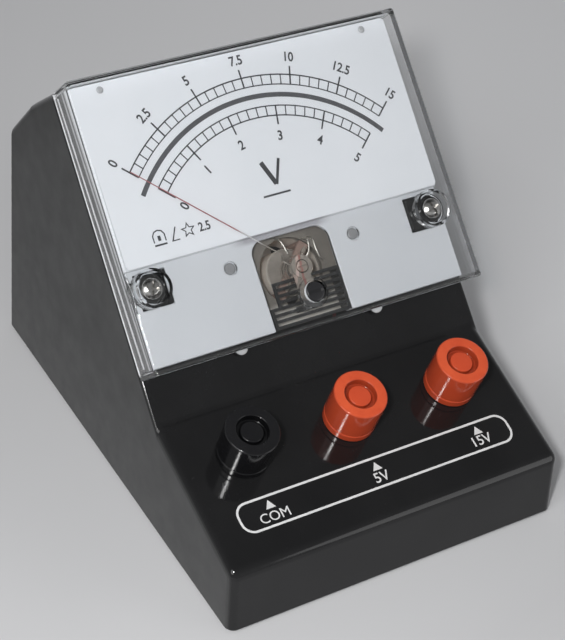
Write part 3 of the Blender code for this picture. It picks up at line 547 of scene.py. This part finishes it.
def add_cylinder(bm, radius, z0, z1, x=0.0, y=0.0, segments=48, top=None):
    bmesh.ops.create_cone(bm, cap_ends=True, cap_tris=False, segments=segments, radius1=radius * MM,
                          radius2=(radius if top is None else top) * MM, depth=(z1 - z0) * MM,
                          matrix=shift(x, y, (z0 + z1) / 2))


def cylinder(radius, z0, z1, x=0.0, y=0.0, segments=48, top=None):
    bm = bmesh.new()
    add_cylinder(bm, radius, z0, z1, x, y, segments, top)
    return new_mesh("cylinder", bm)


def block(x0, x1, y0, y1, z0, z1):
    bm = bmesh.new()
    add_prism(bm, [(x0, y0), (x1, y0), (x1, y1), (x0, y1)], z0, z1)
    return new_mesh("block", bm)


def plate(outline, z0, z1):
    bm = bmesh.new()
    add_prism(bm, outline, z0, z1)
    return new_mesh("plate", bm)


def round_corners(points, radii, steps=6, closed=False):
    """Replaces corners of a polyline by arcs; radii gives one radius per point."""
    result = []
    n = len(points)
    for i, (p, r) in enumerate(zip(points, radii)):
        if r <= 0 or (not closed and i in (0, n - 1)):
            result.append(tuple(p))
            continue
        p = Vector(p)
        a = (Vector(points[i - 1]) - p)
        b = (Vector(points[(i + 1) % n]) - p)
        ua, ub = a.normalized(), b.normalized()
        half = math.acos(max(-1.0, min(1.0, ua.dot(ub)))) / 2
        if half > math.radians(89.5):
            result.append(tuple(p))
            continue
        run = min(r / math.tan(half), a.length * 0.499, b.length * 0.499)
        r = run * math.tan(half)
        centre = p + (ua + ub).normalized() * (r / math.sin(half))
        start, end = p + ua * run - centre, p + ub * run - centre
        a0, a1 = math.atan2(start.y, start.x), math.atan2(end.y, end.x)
        turn = (a1 - a0 + math.pi) % math.tau - math.pi
        for k in range(steps + 1):
            angle = a0 + turn * k / steps
            result.append((centre.x + r * math.cos(angle), centre.y + r * math.sin(angle)))
    return result


def turned(profile, segments=72, closed=False):
    """Turned solid from (radius, height) points; axis ends close it."""
    bm = bmesh.new()
    rings = []
    for r, z in profile:
        if r < 1e-6:
            rings.append([bm.verts.new((0, 0, z * MM))])
        else:
            rings.append([bm.verts.new((r * math.cos(math.tau * k / segments) * MM,
                                        r * math.sin(math.tau * k / segments) * MM, z * MM))
                          for k in range(segments)])
    pairs = list(zip(rings, rings[1:])) + ([(rings[-1], rings[0])] if closed else [])
    for a, b in pairs:
        for k in range(segments):
            j = (k + 1) % segments
            if len(a) == 1 and len(b) == 1:
                continue
            if len(a) == 1:
                bm.faces.new((a[0], b[j], b[k]))
            elif len(b) == 1:
                bm.faces.new((a[k], a[j], b[0]))
            else:
                bm.faces.new((a[k], a[j], b[j], b[k]))
    return new_mesh("turned", bm)


def side_prism(outline, half, draft):
    """Prism across the case from (depth, height) points, sides leaning in."""
    bm = bmesh.new()
    rows = []
    for sign in (-1, 1):
        rows.append([bm.verts.new(Vector((sign * (half - draft * z), y, z)) * MM) for y, z in outline])
    bm.faces.new(rows[0])
    bm.faces.new(rows[1][::-1])
    n = len(outline)
    for i in range(n):
        j = (i + 1) % n
        bm.faces.new((rows[0][i], rows[1][i], rows[1][j], rows[0][j]))
    return new_mesh("side_prism", bm)


def inset(outline, distance):
    result = []
    n = len(outline)
    for i in range(n):
        p0, p1, p2 = (Vector(outline[(i + k) % n]) for k in (-1, 0, 1))
        d1, d2 = (p1 - p0).normalized(), (p2 - p1).normalized()
        n1, n2 = Vector((d1.y, -d1.x)), Vector((d2.y, -d2.x))
        bisector = (n1 + n2).normalized()
        p = p1 + bisector * (distance / bisector.dot(n1))
        result.append((p.x, p.y))
    return result


def rounded_rect(x0, x1, y0, y1, radius, steps=6, corners=(1, 1, 1, 1)):
    points = [(x0, y0), (x1, y0), (x1, y1), (x0, y1)]
    return round_corners(points, [radius * c for c in corners], steps, closed=True)


def tube(points, radii, sides=12):
    """A round rod along points (mm) with a radius at each, closed at both ends."""
    bm = bmesh.new()
    pts = [Vector(p) for p in points]
    rings = []
    for i, p in enumerate(pts):
        d = (pts[min(i + 1, len(pts) - 1)] - pts[max(i - 1, 0)]).normalized()
        side = Vector((1, 0, 0)) if abs(d.x) < 0.9 else Vector((0, 1, 0))
        u = (side - d * side.dot(d)).normalized()
        v = d.cross(u)
        rings.append([bm.verts.new((p + (u * math.cos(math.tau * k / sides) + v * math.sin(math.tau * k / sides))
                                    * radii[i]) * MM) for k in range(sides)])
    for a, b in zip(rings, rings[1:]):
        for k in range(sides):
            j = (k + 1) % sides
            bm.faces.new((a[k], a[j], b[j], b[k]))
    bm.faces.new(rings[0][::-1])
    bm.faces.new(rings[-1])
    return new_mesh("tube", bm)


def add_text(bm, words, size, matrix, thick=0.03, stretch=1.0, bold=0.0):
    """Text as thin closed solids, centred at the matrix's origin (size in mm)."""
    curve = bpy.data.curves.new("words", 'FONT')
    curve.body = words
    curve.size = size
    curve.align_x = 'CENTER'
    curve.align_y = 'CENTER'
    curve.resolution_u = 4
    curve.extrude = thick / 2
    curve.offset = bold
    holder = bpy.data.objects.new("words", curve)
    bpy.context.scene.collection.objects.link(holder)
    bpy.context.view_layer.update()
    mesh = bpy.data.meshes.new_from_object(holder.evaluated_get(bpy.context.evaluated_depsgraph_get()))
    bpy.data.objects.remove(holder, do_unlink=True)
    xs, ys = [v.co.x for v in mesh.vertices], [v.co.y for v in mesh.vertices]
    centre = Vector(((min(xs) + max(xs)) / 2, (min(ys) + max(ys)) / 2, 0))
    mesh.transform(matrix @ Matrix.Diagonal((MM * stretch, MM, MM, 1)) @ Matrix.Translation(-centre))
    bm.from_mesh(mesh)
    bpy.data.meshes.remove(mesh)
    bpy.data.curves.remove(curve)


def arc(radius, a0, a1, steps):
    """Points round the pointer's pivot; angles in degrees to the left of straight up."""
    return [(-radius * math.sin(math.radians(a0 + (a1 - a0) * k / steps)),
             PIVOT_S + radius * math.cos(math.radians(a0 + (a1 - a0) * k / steps))) for k in range(steps + 1)]


def half_width(s, h=0.0):
    return CASE_W / 2 - DRAFT * (BEND[1] + s * math.sin(DIAL_ANGLE) + h * math.cos(DIAL_ANGLE))


# ---- case ---------------------------------------------------------------------------
def profile(bottom):
    lean = FRONT_TOP[0] / FRONT_TOP[1]
    rear = (CASE_D - REAR_TOP[0]) / REAR_TOP[1]
    return [(lean * bottom, bottom), FRONT_TOP, BEND, APEX, SHOULDER, REAR_TOP, (CASE_D - rear * bottom, bottom)]


def build_case():
    obj = temp("case_skin", side_prism(profile(-8.0), CASE_W / 2, DRAFT), CASE)
    mesh = obj.data
    layer = mesh.attributes.new("bevel_weight_edge", 'FLOAT', 'EDGE')

    def near(p, q):
        return abs(p.y - q[0]) < 0.3 and abs(p.z - q[1]) < 0.3
    for edge in mesh.edges:
        a, b = (mesh.vertices[i].co / MM for i in edge.vertices)
        weight = 1.0
        if max(a.z, b.z) < -7.0:
            weight = 0.0
        elif near(a, BEND) and near(b, BEND):
            weight = 0.3
        elif near(a, SHOULDER) and near(b, SHOULDER):
            weight = 0.9
        else:
            for end, other in ((a, b), (b, a)):
                if near(end, APEX) and (near(other, BEND) or near(other, APEX)):
                    weight = 0.4
        layer.data[edge.index].value = weight
    mod = obj.modifiers.new("edges", 'BEVEL')
    mod.width = 2.4 * MM
    mod.segments = 7
    mod.limit_method = 'WEIGHT'
    applied(obj)
    cavity = inset(profile(-8.0), WALL)
    cavity[0] = (cavity[0][0], -12.0)
    cavity[-1] = (cavity[-1][0], -12.0)
    steps = [('DIFFERENCE', block(-70, 70, -20, 160, -20, 0), CASE),
             ('DIFFERENCE', side_prism(cavity, CASE_W / 2 - WALL, DRAFT), CASE)]
    for side in (-1, 1):
        x0, x1 = sorted((side * POST[0], side * POST[1]))
        post = rounded_rect(x0, x1, POST[2], POST[3], 0.6, 3)
        steps.append(('UNION', plate(post, -1.2, 5.2), DIAL))
    steps.append(('DIFFERENCE', plate(rounded_rect(-23, 23, 12.9, 43, 2.0), -5, 3), DIAL))
    for side in (-1, 1):
        steps.append(('DIFFERENCE', cylinder(1.75, -5, 8), DIAL @ shift(side * COVER_SCREW[0], COVER_SCREW[1], 0)))
    for label, x in TERMINAL_X:
        steps.append(('DIFFERENCE', cylinder(3.2, -5, 3), PANEL @ shift(x, TERMINAL_S, 0)))
    for x in (-43.2, 43.2):
        for y in (30.0, 104.0):
            steps.append(('UNION', cylinder(3.8, 3.1, 17.0), CASE @ shift(x, y, 0)))
            steps.append(('DIFFERENCE', cylinder(1.45, 2.0, 15.0, segments=24), CASE @ shift(x, y, 0)))
    carve(obj, steps)
    return piece(obj, CASE_BLACK, "frame", ["case_shell"], 30.0, weighted=True)


def build_cover():
    y0, y1 = 11.5, 86.5
    w0, w1 = half_width(y0, 5), half_width(y1, 5)
    outer = [(-w0, y0), (w0, y0), (w1, y1), (-w1, y1)]
    t = COVER_WALL
    inner = [(-w0 + t, y0 + t), (w0 - t, y0 + t), (w1 - t, y1 - t), (-w1 + t, y1 - t)]
    obj = temp("cover_glass", plate(outer, GAP, 11.0), DIAL)
    mesh = obj.data
    layer = mesh.attributes.new("bevel_weight_edge", 'FLOAT', 'EDGE')
    for edge in mesh.edges:
        a, b = (mesh.vertices[i].co / MM for i in edge.vertices)
        layer.data[edge.index].value = 0.0 if max(a.z, b.z) < GAP + 0.1 else 1.0
    mod = obj.modifiers.new("edges", 'BEVEL')
    mod.width = 0.7 * MM
    mod.segments = 5
    mod.limit_method = 'WEIGHT'
    applied(obj)
    steps = []
    for side in (-1, 1):
        lug = turned(round_corners([(0, GAP), (1.9, GAP), (1.9, 1.7), (0, 1.7)], [0, 0.15, 0.5, 0], 4), 40)
        steps.append(('UNION', lug, DIAL @ shift(side * 20.3, y0 + 0.8, 0)))
    steps.append(('DIFFERENCE', plate(round_corners(inner, [0.8] * 4, 4, closed=True), -2.0, 9.0), DIAL))
    for side in (-1, 1):
        steps.append(('UNION', cylinder(5.0, 5.5, 9.6, segments=64), DIAL @ shift(side * COVER_SCREW[0], COVER_SCREW[1], 0)))
    steps.append(('UNION', cylinder(4.0, 7.6, 9.6, segments=64), ZERO))
    for side in (-1, 1):
        at = DIAL @ shift(side * COVER_SCREW[0], COVER_SCREW[1], 0)
        steps.append(('DIFFERENCE', turned(round_corners([(0, 6.7), (4.2, 6.7), (4.2, 10.9), (4.5, 13.0), (0, 13.0)],
                                                         [0, 0.5, 0.3, 0, 0], 4), 64), at))
        steps.append(('DIFFERENCE', cylinder(1.75, 4.0, 8.0), at))
    steps.append(('DIFFERENCE', cylinder(2.85, 9.3, 13.0, segments=64), ZERO))
    steps.append(('DIFFERENCE', cylinder(1.8, 6.0, 10.0), ZERO))
    carve(obj, steps)
    piece(obj, CLEAR, "frame", ["clear_cover"], 30.0, weighted=True)
    obj.data.materials.append(COVER_HIGHLIGHT)
    obj.data.materials.append(RIM_PAINTED_LIGHT)
    obj.data.materials.append(LUG_HIGHLIGHT)
    for face in obj.data.polygons:
        place = face.center / MM
        # painted highlight: the tops of the two lugs
        if place.y < y0 - 0.01 and place.z < 1.75 and face.normal.z > 0.25:
            face.material_index = 3
        # painted light and shade: the walls' underside
        elif face.normal.z < -0.9 and place.z < GAP + 0.05 and place.y > y0:
            face.material_index = 2
        # painted highlight: the top wall's inner face
        elif face.normal.y < -0.9 and y1 - t - 0.1 < place.y < y1 - t + 0.1:
            face.material_index = 1
        # painted highlight: a crescent on the wall of the zero-screw well
        around = Vector((place.x, place.y - ZERO_S))
        if 2.7 < around.length < 2.9 and place.z > 9.25 and around.x < 0.6 - 0.4 * around.y:
            face.material_index = 1
    return obj


def build_ledge():
    """A pale strip on the case beside the tray, seen through the cover's left wall: a painted highlight for the bright
    line along that wall.
    """
    outline = rounded_rect(-46.10, -45.76, 14.2, 84.8, 0.12, 3)
    piece(temp("wall_highlight_strip", plate(outline, 0.03, 0.25), DIAL), WALL_HIGHLIGHT, "frame", smooth=40.0)


def build_tray():
    end = PLATE_S1 + 0.28
    outline = [(13.3, GAP), (13.3, 4.7), (38.0, 4.7), (38.0, 6.0), (end, 6.0), (end, GAP)]
    inside = [(14.8, -2.0), (14.8, 3.2), (39.5, 3.2), (39.5, 4.5), (end - 1.5, 4.5), (end - 1.5, -2.0)]
    obj = temp("mask_tray", side_prism(outline, 45.7, 0.0), DIAL)
    steps = [('DIFFERENCE', side_prism(inside, 44.2, 0.0), DIAL)]
    for side in (-1, 1):
        steps.append(('UNION', cylinder(2.8, 0.6, 3.9), DIAL @ shift(side * MASK_SCREW[0], MASK_SCREW[1], 0)))
    steps.append(('DIFFERENCE', plate(rounded_rect(-11.4, 11.4, 12.0, 36.8, 3.8, 10, (0, 0, 1, 1)), -3.0, 9.0), DIAL))
    for side in (-1, 1):
        x0, x1 = sorted((side * (POST[0] - GAP), side * (POST[1] + GAP)))
        steps.append(('DIFFERENCE', block(x0, x1, 27.7, 36.9, -3, 9), DIAL))
    carve(obj, steps)
    soften(obj, 0.3, 3, 50.0)
    steps = []
    for side in (-1, 1):
        at = DIAL @ shift(side * MASK_SCREW[0], MASK_SCREW[1], 0)
        steps.append(('DIFFERENCE', cylinder(1.2, -1, 9), at))
        steps.append(('DIFFERENCE', cylinder(1.9, 3.8, 9), at))
        steps.append(('DIFFERENCE', cylinder(0.85, 3, 9, segments=24), DIAL @ shift(side * DIAL_PIN[0], DIAL_PIN[1], 0)))
    carve(obj, steps)
    return piece(obj, MASK, "frame", ["movement_tray"], 30.0, weighted=True)


# ---- dial print ---------------------------------------------------------------------
INK_H = (PLATE_TOP + 0.01, PLATE_TOP + 0.05)


def radial(radius, degrees):
    a = math.radians(degrees)
    return Vector((-radius * math.sin(a), PIVOT_S + radius * math.cos(a), 0))


def add_tick(bm, r0, r1, degrees, width):
    a = math.radians(degrees)
    out = Vector((-math.sin(a), math.cos(a)))
    side = Vector((math.cos(a), math.sin(a))) * width / 2
    base = Vector((0, PIVOT_S))
    p, q = base + out * r0, base + out * r1
    add_prism(bm, [tuple(p - side), tuple(p + side), tuple(q + side), tuple(q - side)], *INK_H)


def add_stroke(bm, points, width, z=INK_H):
    """A line of one width through points, with mitred corners."""
    pts = [Vector(p) for p in points]
    left, right = [], []
    for i, p in enumerate(pts):
        d0 = (p - pts[i - 1]).normalized() if i else (pts[1] - p).normalized()
        d1 = (pts[i + 1] - p).normalized() if i < len(pts) - 1 else d0
        n0, n1 = Vector((-d0.y, d0.x)), Vector((-d1.y, d1.x))
        m = (n0 + n1).normalized()
        m *= width / 2 / max(0.35, m.dot(n0))
        left.append(tuple(p + m))
        right.append(tuple(p - m))
    add_band(bm, right, left, *z)


def label_matrix(x, s, degrees=0.0, h=PLATE_TOP + 0.03):
    return shift(x, s, h) @ Matrix.Rotation(math.radians(degrees), 4, 'Z')


def dial_angle(share):
    return SWEEP / 2 - SWEEP * share


def build_scale():
    bm = bmesh.new()
    for r, width in ((50.5, 0.36), (47.9, 0.30), (42.3, 0.32), (39.7, 0.34)):
        add_band(bm, arc(r - width / 2, 47.5, -47.5, 96), arc(r + width / 2, 47.5, -47.5, 96), *INK_H)
    for k in range(31):
        major = k % 5 == 0
        add_tick(bm, 47.9, 52.8 if major else 50.5, dial_angle(k / 30), 0.42 if major else 0.30)
    for k in range(26):
        major = k % 5 == 0
        add_tick(bm, 37.3 if major else 39.7, 42.3, dial_angle(k / 25), 0.42 if major else 0.30)
    for k, words in enumerate(("0", "2.5", "5", "7.5", "10", "12.5", "15")):
        p = radial(55.3, dial_angle(k / 6))
        add_text(bm, words, 3.5, label_matrix(p.x, p.y, dial_angle(k / 6)), 0.04, 0.88, 0.07)
    for k in range(6):
        p = radial(34.4, dial_angle(k / 5) + (1.2 if k == 0 else 0.6 if k == 1 else 0.0))
        add_text(bm, str(k), 3.5, label_matrix(p.x, p.y, dial_angle(k / 5)), 0.04, 0.9, 0.07)
    mesh = new_mesh("scale_print", bm, 1e-9)
    piece(temp("scale_print", mesh, DIAL), INK, "frame", smooth=20.0)

    bm = bmesh.new()
    add_band(bm, arc(44.55, 52.2, -51.0, 110), arc(45.8, 52.2, -51.0, 110), *INK_H)
    piece(temp("mirror_arc", new_mesh("mirror_arc", bm, 1e-9), DIAL), INK_GREY, "frame", smooth=20.0)

    bm = bmesh.new()
    add_stroke(bm, [(-2.05, 55.75), (0.45, 49.5)], 1.25)
    add_stroke(bm, [(0.55, 49.35), (3.15, 55.75)], 0.75)
    add_stroke(bm, [(-4.2, 46.95), (3.7, 46.95)], 0.5)
    # class and position marks, small and generic
    y = 42.4
    shoe = [(-36.6, y + 0.6), (-36.6, y + 2.4), (-36.0, y + 3.3), (-35.0, y + 3.6), (-34.0, y + 3.3), (-33.4, y + 2.4),
            (-33.4, y + 0.6)]
    add_stroke(bm, shoe, 0.32)
    add_stroke(bm, [(-36.7, y - 0.1), (-33.3, y - 0.1)], 0.45)
    add_stroke(bm, [(-35.0, y + 0.9), (-35.0, y + 2.2)], 0.8)
    add_stroke(bm, [(-31.7, y), (-30.1, y + 3.3)], 0.34)
    add_stroke(bm, [(-31.9, y), (-29.7, y)], 0.3)
    star = []
    for k in range(10):
        r = 1.75 if k % 2 == 0 else 0.78
        a = math.radians(90 + 36 * k)
        star.append((-26.9 + r * math.cos(a), y + 1.7 + r * math.sin(a)))
    add_stroke(bm, star + star[:2], 0.26)
    add_text(bm, "2.5", 3.2, label_matrix(-22.4, y + 1.6), 0.04, 0.85, 0.07)
    piece(temp("unit_print", new_mesh("unit_print", bm, 1e-9), DIAL), INK, "frame", smooth=20.0)


def build_panel_print():
    """White frame with three marks, printed on the terminal panel."""
    z = (0.005, 0.05)
    outer = rounded_rect(-40.3, 40.3, 8.4, 17.0, 3.4, 12)
    inner = rounded_rect(-39.7, 39.7, 9.0, 16.4, 2.8, 12)
    bm = bmesh.new()
    add_band(bm, inner, outer, *z, closed=True)
    for x in (-31.0, 0.0, 31.0):
        add_prism(bm, [(x - 1.35, 13.3), (x + 1.35, 13.3), (x, 15.6)], *z)
    for x, words, size, s in ((-31.0, "COM", 3.7, 11.2), (0.0, "5V", 3.9, 11.3), (31.0, "15V", 3.9, 11.5)):
        add_text(bm, words, size, shift(x, s, 0.03), 0.04, 1.0, 0.0 if words == "COM" else 0.03)
    mesh = new_mesh("panel_print", bm, 1e-9)
    piece(temp("panel_print", mesh, PANEL), PANEL_INK, "frame", smooth=20.0)


# ---- movement, pointer, zero screw ------------------------------------------------------
def build_pointer():
    top = NEEDLE_H
    route = [(0, 1.5, 3.6), (0, 3.0, 3.6), (0, 4.2, 3.62), (0, 4.45, 3.7), (0, 5.2, 5.2), (0, 6.0, 6.9), (0, 6.25, 7.2),
             (0, 6.7, top), (0, 12, top), (0, 20, top), (0, 35, top), (0, 50.3, top), (0, 50.6, top)]
    radii = [0.25, 0.25, 0.24, 0.22, 0.20, 0.18, 0.17, 0.16, 0.16, 0.155, 0.15, 0.12, 0.06]
    bm = bmesh.new()
    bm.from_mesh(tube(route, radii, 12))
    ring = [(2.1 * math.cos(math.tau * k / 40), 2.1 * math.sin(math.tau * k / 40)) for k in range(40)]
    hole = [(1.1 * math.cos(math.tau * k / 40), 1.1 * math.sin(math.tau * k / 40)) for k in range(40)]
    add_band(bm, hole, ring, 3.32, 3.88, closed=True)
    mesh = new_mesh("pointer_needle", bm, 1e-9)
    piece(temp("pointer_needle", mesh, PIVOT), NEEDLE, "moving_element", ["pointer"], 40.0)


def build_leads():
    """Fine lead wires over the movement plate, seen through the window."""
    for name, route, radius, material in (
            ("lead_wire_a", [(5.6, 34.7, 0.4), (5.4, 33.6, 3.6), (5.15, 32.2, 3.9), (4.85, 31.0, 3.6),
                              (4.05, 29.85, 3.1), (3.0, 28.7, 3.0)], 0.2, LEAD_BARE),
            ("lead_wire_b", [(7.2, 35.0, 0.4), (6.95, 33.6, 3.4), (6.9, 31.2, 3.8), (7.3, 28.9, 3.6), (8.2, 28.3, 2.6),
                              (9.7, 27.9, 0.4)], 0.2, LEAD_BARE),
            ("lead_wire_c", [(-2.4, 36.9, 0.4), (-1.7, 35.4, 2.7), (-1.1, 33.0, 2.9), (-0.7, 31.7, 2.7)], 0.22, LEAD_BARE)):
        path = [Vector(p) for p in route]
        fine = []
        for i in range(len(path) - 1):
            a, b = path[max(i - 1, 0)], path[i]
            c, d = path[i + 1], path[min(i + 2, len(path) - 1)]
            for k in range(6):
                t = k / 6
                fine.append(0.5 * (2 * b + (c - a) * t + (2 * a - 5 * b + 4 * c - d) * t * t
                                   + (3 * b - a - 3 * c + d) * t ** 3))
        fine.append(path[-1])
        mesh = tube(fine, [radius] * len(fine), 10)
        piece(temp(name, mesh, DIAL), material, "frame", smooth=50.0)


def build_zero_screw():
    head = round_corners([(0, 10.9), (2.6, 10.9), (2.6, 9.6), (1.5, 9.6), (1.5, 7.4), (0, 7.4)],
                         [0, 0.45, 0, 0, 0.1, 0], 5)
    obj = temp("zero_knob", turned(head, 56), ZERO)
    carve(obj, [('UNION', cylinder(0.45, 6.25, 7.6, 0, 0.9, 20), ZERO),
                ('DIFFERENCE', block(-2.2, 2.2, -0.38, 0.38, 10.2, 12), ZERO)])
    piece(obj, ZERO_BLACK, "zero_screw", ["zero_screw"], 30.0, weighted=True)


def build_cover_screws():
    for label, side in (("left", -1), ("right", 1)):
        at = DIAL @ shift(side * COVER_SCREW[0], COVER_SCREW[1], 0)
        head = round_corners([(0, 9.5), (1.5, 9.45), (2.7, 8.7), (2.7, 7.62), (3.5, 7.6), (3.5, 7.0), (1.4, 7.0),
                              (1.4, -2.0), (0, -2.4)], [0, 0.5, 0.5, 0.1, 0.15, 0.1, 0.1, 0.1, 0], 5)
        obj = temp("cover_screw_head_" + label, turned(head, 56), at)
        turn = Matrix.Rotation(math.radians(22 * side), 4, 'Z')
        steps = []
        for angle in (0.0, math.pi / 2):
            cross = plate([(-1.7, -0.3), (1.7, -0.3), (1.7, 0.3), (-1.7, 0.3)], 8.3, 11)
            steps.append(('DIFFERENCE', cross, at @ turn @ Matrix.Rotation(angle, 4, 'Z')))
        carve(obj, steps)
        piece(obj, NICKEL, "frame", ["cover_screw_" + label], 30.0, weighted=True)
        obj.data.materials.append(DARK_METAL)
        for face in obj.data.polygons:
            if face.center.z < 7.75 * MM:
                face.material_index = 1


def build_terminals():
    for label, x in TERMINAL_X:
        at = PANEL @ shift(x, TERMINAL_S, 0)
        colour = CAP_BLACK if label == "com" else RED
        cap = round_corners(
            [(0, 11.2), (3.0, 11.2), (3.0, 9.8), (4.15, 9.8), (4.15, 12.0), (7.0, 12.0), (7.0, 2.6), (5.2, 2.6),
             (5.2, 4.8), (2.25, 4.8), (2.25, 9.3), (0, 9.3)],
            [0, 0.35, 0.25, 0.25, 0.3, 0.45, 0.2, 0.15, 0, 0, 0, 0], 5)
        obj = temp("cap_" + label, turned(cap, 96), at)
        piece(obj, colour, "cap_" + label, ["terminal_cap_" + label], 32.0, weighted=True)
        collar = round_corners([(7.0, 2.3), (7.0, GAP), (2.9, GAP), (2.9, -4.5), (2.3, -4.5), (2.3, 2.3)],
                               [0.25, 0.1, 0, 0, 0, 0.1], 4, closed=True)
        obj = temp("collar_" + label, turned(collar, 96, closed=True), at)
        piece(obj, colour, "frame", ["terminal_collar_" + label], 32.0, weighted=True)
        stud = round_corners([(0, 9.0), (1.6, 9.0), (2.0, 8.6), (2.0, 3.4), (4.4, 3.4), (4.4, 2.6), (2.0, 2.6), (2.0, -11.0),
                              (0, -11.0)], [0, 0.1, 0.1, 0.1, 0.15, 0.15, 0.1, 0.2, 0], 3)
        obj = temp("stud_" + label, turned(stud, 48), at)
        piece(obj, BRASS, "frame", ["terminal_stud_" + label], 32.0, weighted=True)
        washer = round_corners([(4.9, 4.4), (4.9, 3.7), (2.35, 3.7), (2.35, 4.4)], [0.15] * 4, 3, closed=True)
        obj = temp("washer_ring_" + label, turned(washer, 56, closed=True), at)
        piece(obj, BRASS, "washer_" + label, ["clamp_washer_" + label], 32.0, weighted=True)


def paint_cad():
    paint("base_plate", MATTE_BLACK)
    paint(["base_screw_front_left", "base_screw_front_right", "base_screw_rear_left", "base_screw_rear_right"], STEEL)
    paint("window_louvre", LOUVRE)
    paint("dial_plate", DIAL_WHITE)
    paint(["dial_pin_left", "dial_pin_right"], PIN_GREY)
    paint(["mask_screw_left", "mask_screw_right"], SCREW_GREY)
    paint("movement_plate", BRONZE)
    paint("yoke_ring", YOKE)
    paint("core_magnet", CORE)
    paint("core_strap", ALUMINIUM)
    paint("zero_lever", LEVER)
    paint("upper_bridge", BRIDGE)
    paint("upper_jewel", JEWEL)
    paint(["upper_hairspring", "balance_cross"], SPRING)
    paint(["lower_bridge", "lower_jewel", "lower_hairspring"], BRASS)
    paint("moving_coil", COPPER)
    paint(["upper_staff", "lower_staff"], STEEL)
    for label, x in TERMINAL_X:
        paint("terminal_nut_" + label, BRASS)
        paint("solder_tag_" + label, STEEL)
    paint(["multiplier_resistor_5v", "multiplier_resistor_15v"], RESISTOR)
    paint("meter_lead_plus", LEAD_RED)
    paint("meter_lead_minus", LEAD_BLACK)


def build_feet():
    for where, x, y in (("front_left", -37.0, 13.0), ("front_right", 37.0, 13.0), ("rear_left", -37.0, 119.0),
                        ("rear_right", 37.0, 119.0)):
        foot = round_corners([(0, 1.2), (6.0, 1.2), (6.0, -0.6), (5.4, -1.2), (0, -1.2)], [0, 0.1, 0.3, 0.2, 0], 4)
        obj = temp("foot_pad_" + where, turned(foot, 56), CASE @ shift(x, y, 0))
        piece(obj, RUBBER, "frame", ["foot_" + where], 32.0, weighted=True)


# ---- stage, light, camera -------------------------------------------------------------
def build_stage():
    bm = bmesh.new()
    bmesh.ops.create_grid(bm, x_segments=1, y_segments=1, size=3.0)
    floor = temp("floor", new_mesh("floor", bm), Matrix.Identity(4))
    t = Tree("floor_grey")
    cloud = t.noise(2.2, 4.0)
    pale = t.mix(t.spread(cloud, 0.0, 1.0), (0.80, 0.80, 0.815), (0.85, 0.85, 0.865))
    deep = t.mix(t.spread(cloud, 0.0, 1.0), (0.60, 0.60, 0.61), (0.65, 0.65, 0.66))
    # painted light and shade on the floor: darker to the left, paler to the right
    tone = t.mix(t.spread(t.along((1, 0, 0), 0.0), 0.0, 1.0, -0.08, 0.145), deep, pale)
    # painted shade on the floor toward the front
    near = t.spread(t.along((0.3, -1.0, 0), 0.0), 0.0, 1.0, 0.03, 0.1)
    t.link(t.mix(near, tone, (0.60, 0.60, 0.61)), t.bsdf.inputs["Base Color"])
    t.link(t.spread(t.noise(5.0, 3.0), 0.7, 0.8), t.bsdf.inputs["Roughness"])
    t.bump(t.noise(700.0, 2.0), 0.03, 0.0002)
    floor.data.materials.append(t.mat)


def aim(obj, target):
    direction = Vector(target) - obj.location
    obj.rotation_euler = direction.to_track_quat('-Z', 'Y').to_euler()


def area(name, location, target, size, power, colour=(1.0, 1.0, 1.0), size_y=None):
    light = bpy.data.lights.new(name, 'AREA')
    light.shape = 'RECTANGLE' if size_y else 'DISK'
    light.size = size
    if size_y:
        light.size_y = size_y
    light.energy = power
    light.color = colour
    obj = bpy.data.objects.new(name, light)
    bpy.context.scene.collection.objects.link(obj)
    obj.location = location
    aim(obj, target)
    return obj


def build_light():
    world = bpy.data.worlds.new("studio")
    world.use_nodes = True
    bpy.context.scene.world = world
    nodes, links = world.node_tree.nodes, world.node_tree.links
    coord = nodes.new("ShaderNodeTexCoord")
    split = nodes.new("ShaderNodeSeparateXYZ")
    ramp = nodes.new("ShaderNodeMapRange")
    ramp.inputs["From Min"].default_value = 0.1
    ramp.inputs["From Max"].default_value = 0.95
    ramp.inputs["To Min"].default_value = 0.45
    ramp.inputs["To Max"].default_value = 0.16
    links.new(coord.outputs["Generated"], split.inputs["Vector"])
    links.new(split.outputs["Z"], ramp.inputs["Value"])
    background = nodes["Background"]
    background.inputs["Color"].default_value = (0.98, 0.99, 1.0, 1.0)
    links.new(ramp.outputs["Result"], background.inputs["Strength"])
    area("key_soft", (-1.0, -0.55, 0.95), (0, 0, 0.04), 0.9, 6.35)
    area("fill_soft", (0.9, -1.1, 0.35), (0, 0, 0.04), 0.9, 3.0)


def build_camera():
    data = bpy.data.cameras.new("camera")
    data.sensor_width = 36.0
    data.lens = 1806.3 / 640.0 * 36.0
    data.clip_start = 0.02
    data.clip_end = 20.0
    camera = bpy.data.objects.new("camera", data)
    bpy.context.scene.collection.objects.link(camera)
    right = Vector((0.8621758, -0.5009131, 0.0757557))
    up = Vector((0.2644429, 0.5725299, 0.7760667))
    back = Vector((-0.4321144, -0.6490728, 0.6260843))
    place = Vector((-0.2067450, -0.3131638, 0.3349873))
    camera.matrix_world = Matrix((
        (right.x, up.x, back.x, place.x), (right.y, up.y, back.y, place.y), (right.z, up.z, back.z, place.z),
        (0, 0, 0, 1)))
    bpy.context.scene.camera = camera
    area("lens_light", (-0.2370, -0.2780, 0.3470), (0, 0, 0.04), 0.036, 1.22)
    return camera


build_camera()
build_light()
build_stage()
build_case()
build_cover()
build_tray()
build_ledge()
build_scale()
build_panel_print()
build_pointer()
build_leads()
build_zero_screw()
build_cover_screws()
build_terminals()
build_feet()
paint_cad()

scene = bpy.context.scene
scene.view_settings.view_transform = 'Standard'
scene.view_settings.look = 'None'
scene.view_settings.exposure = 0.0
scene.view_settings.gamma = 1.0
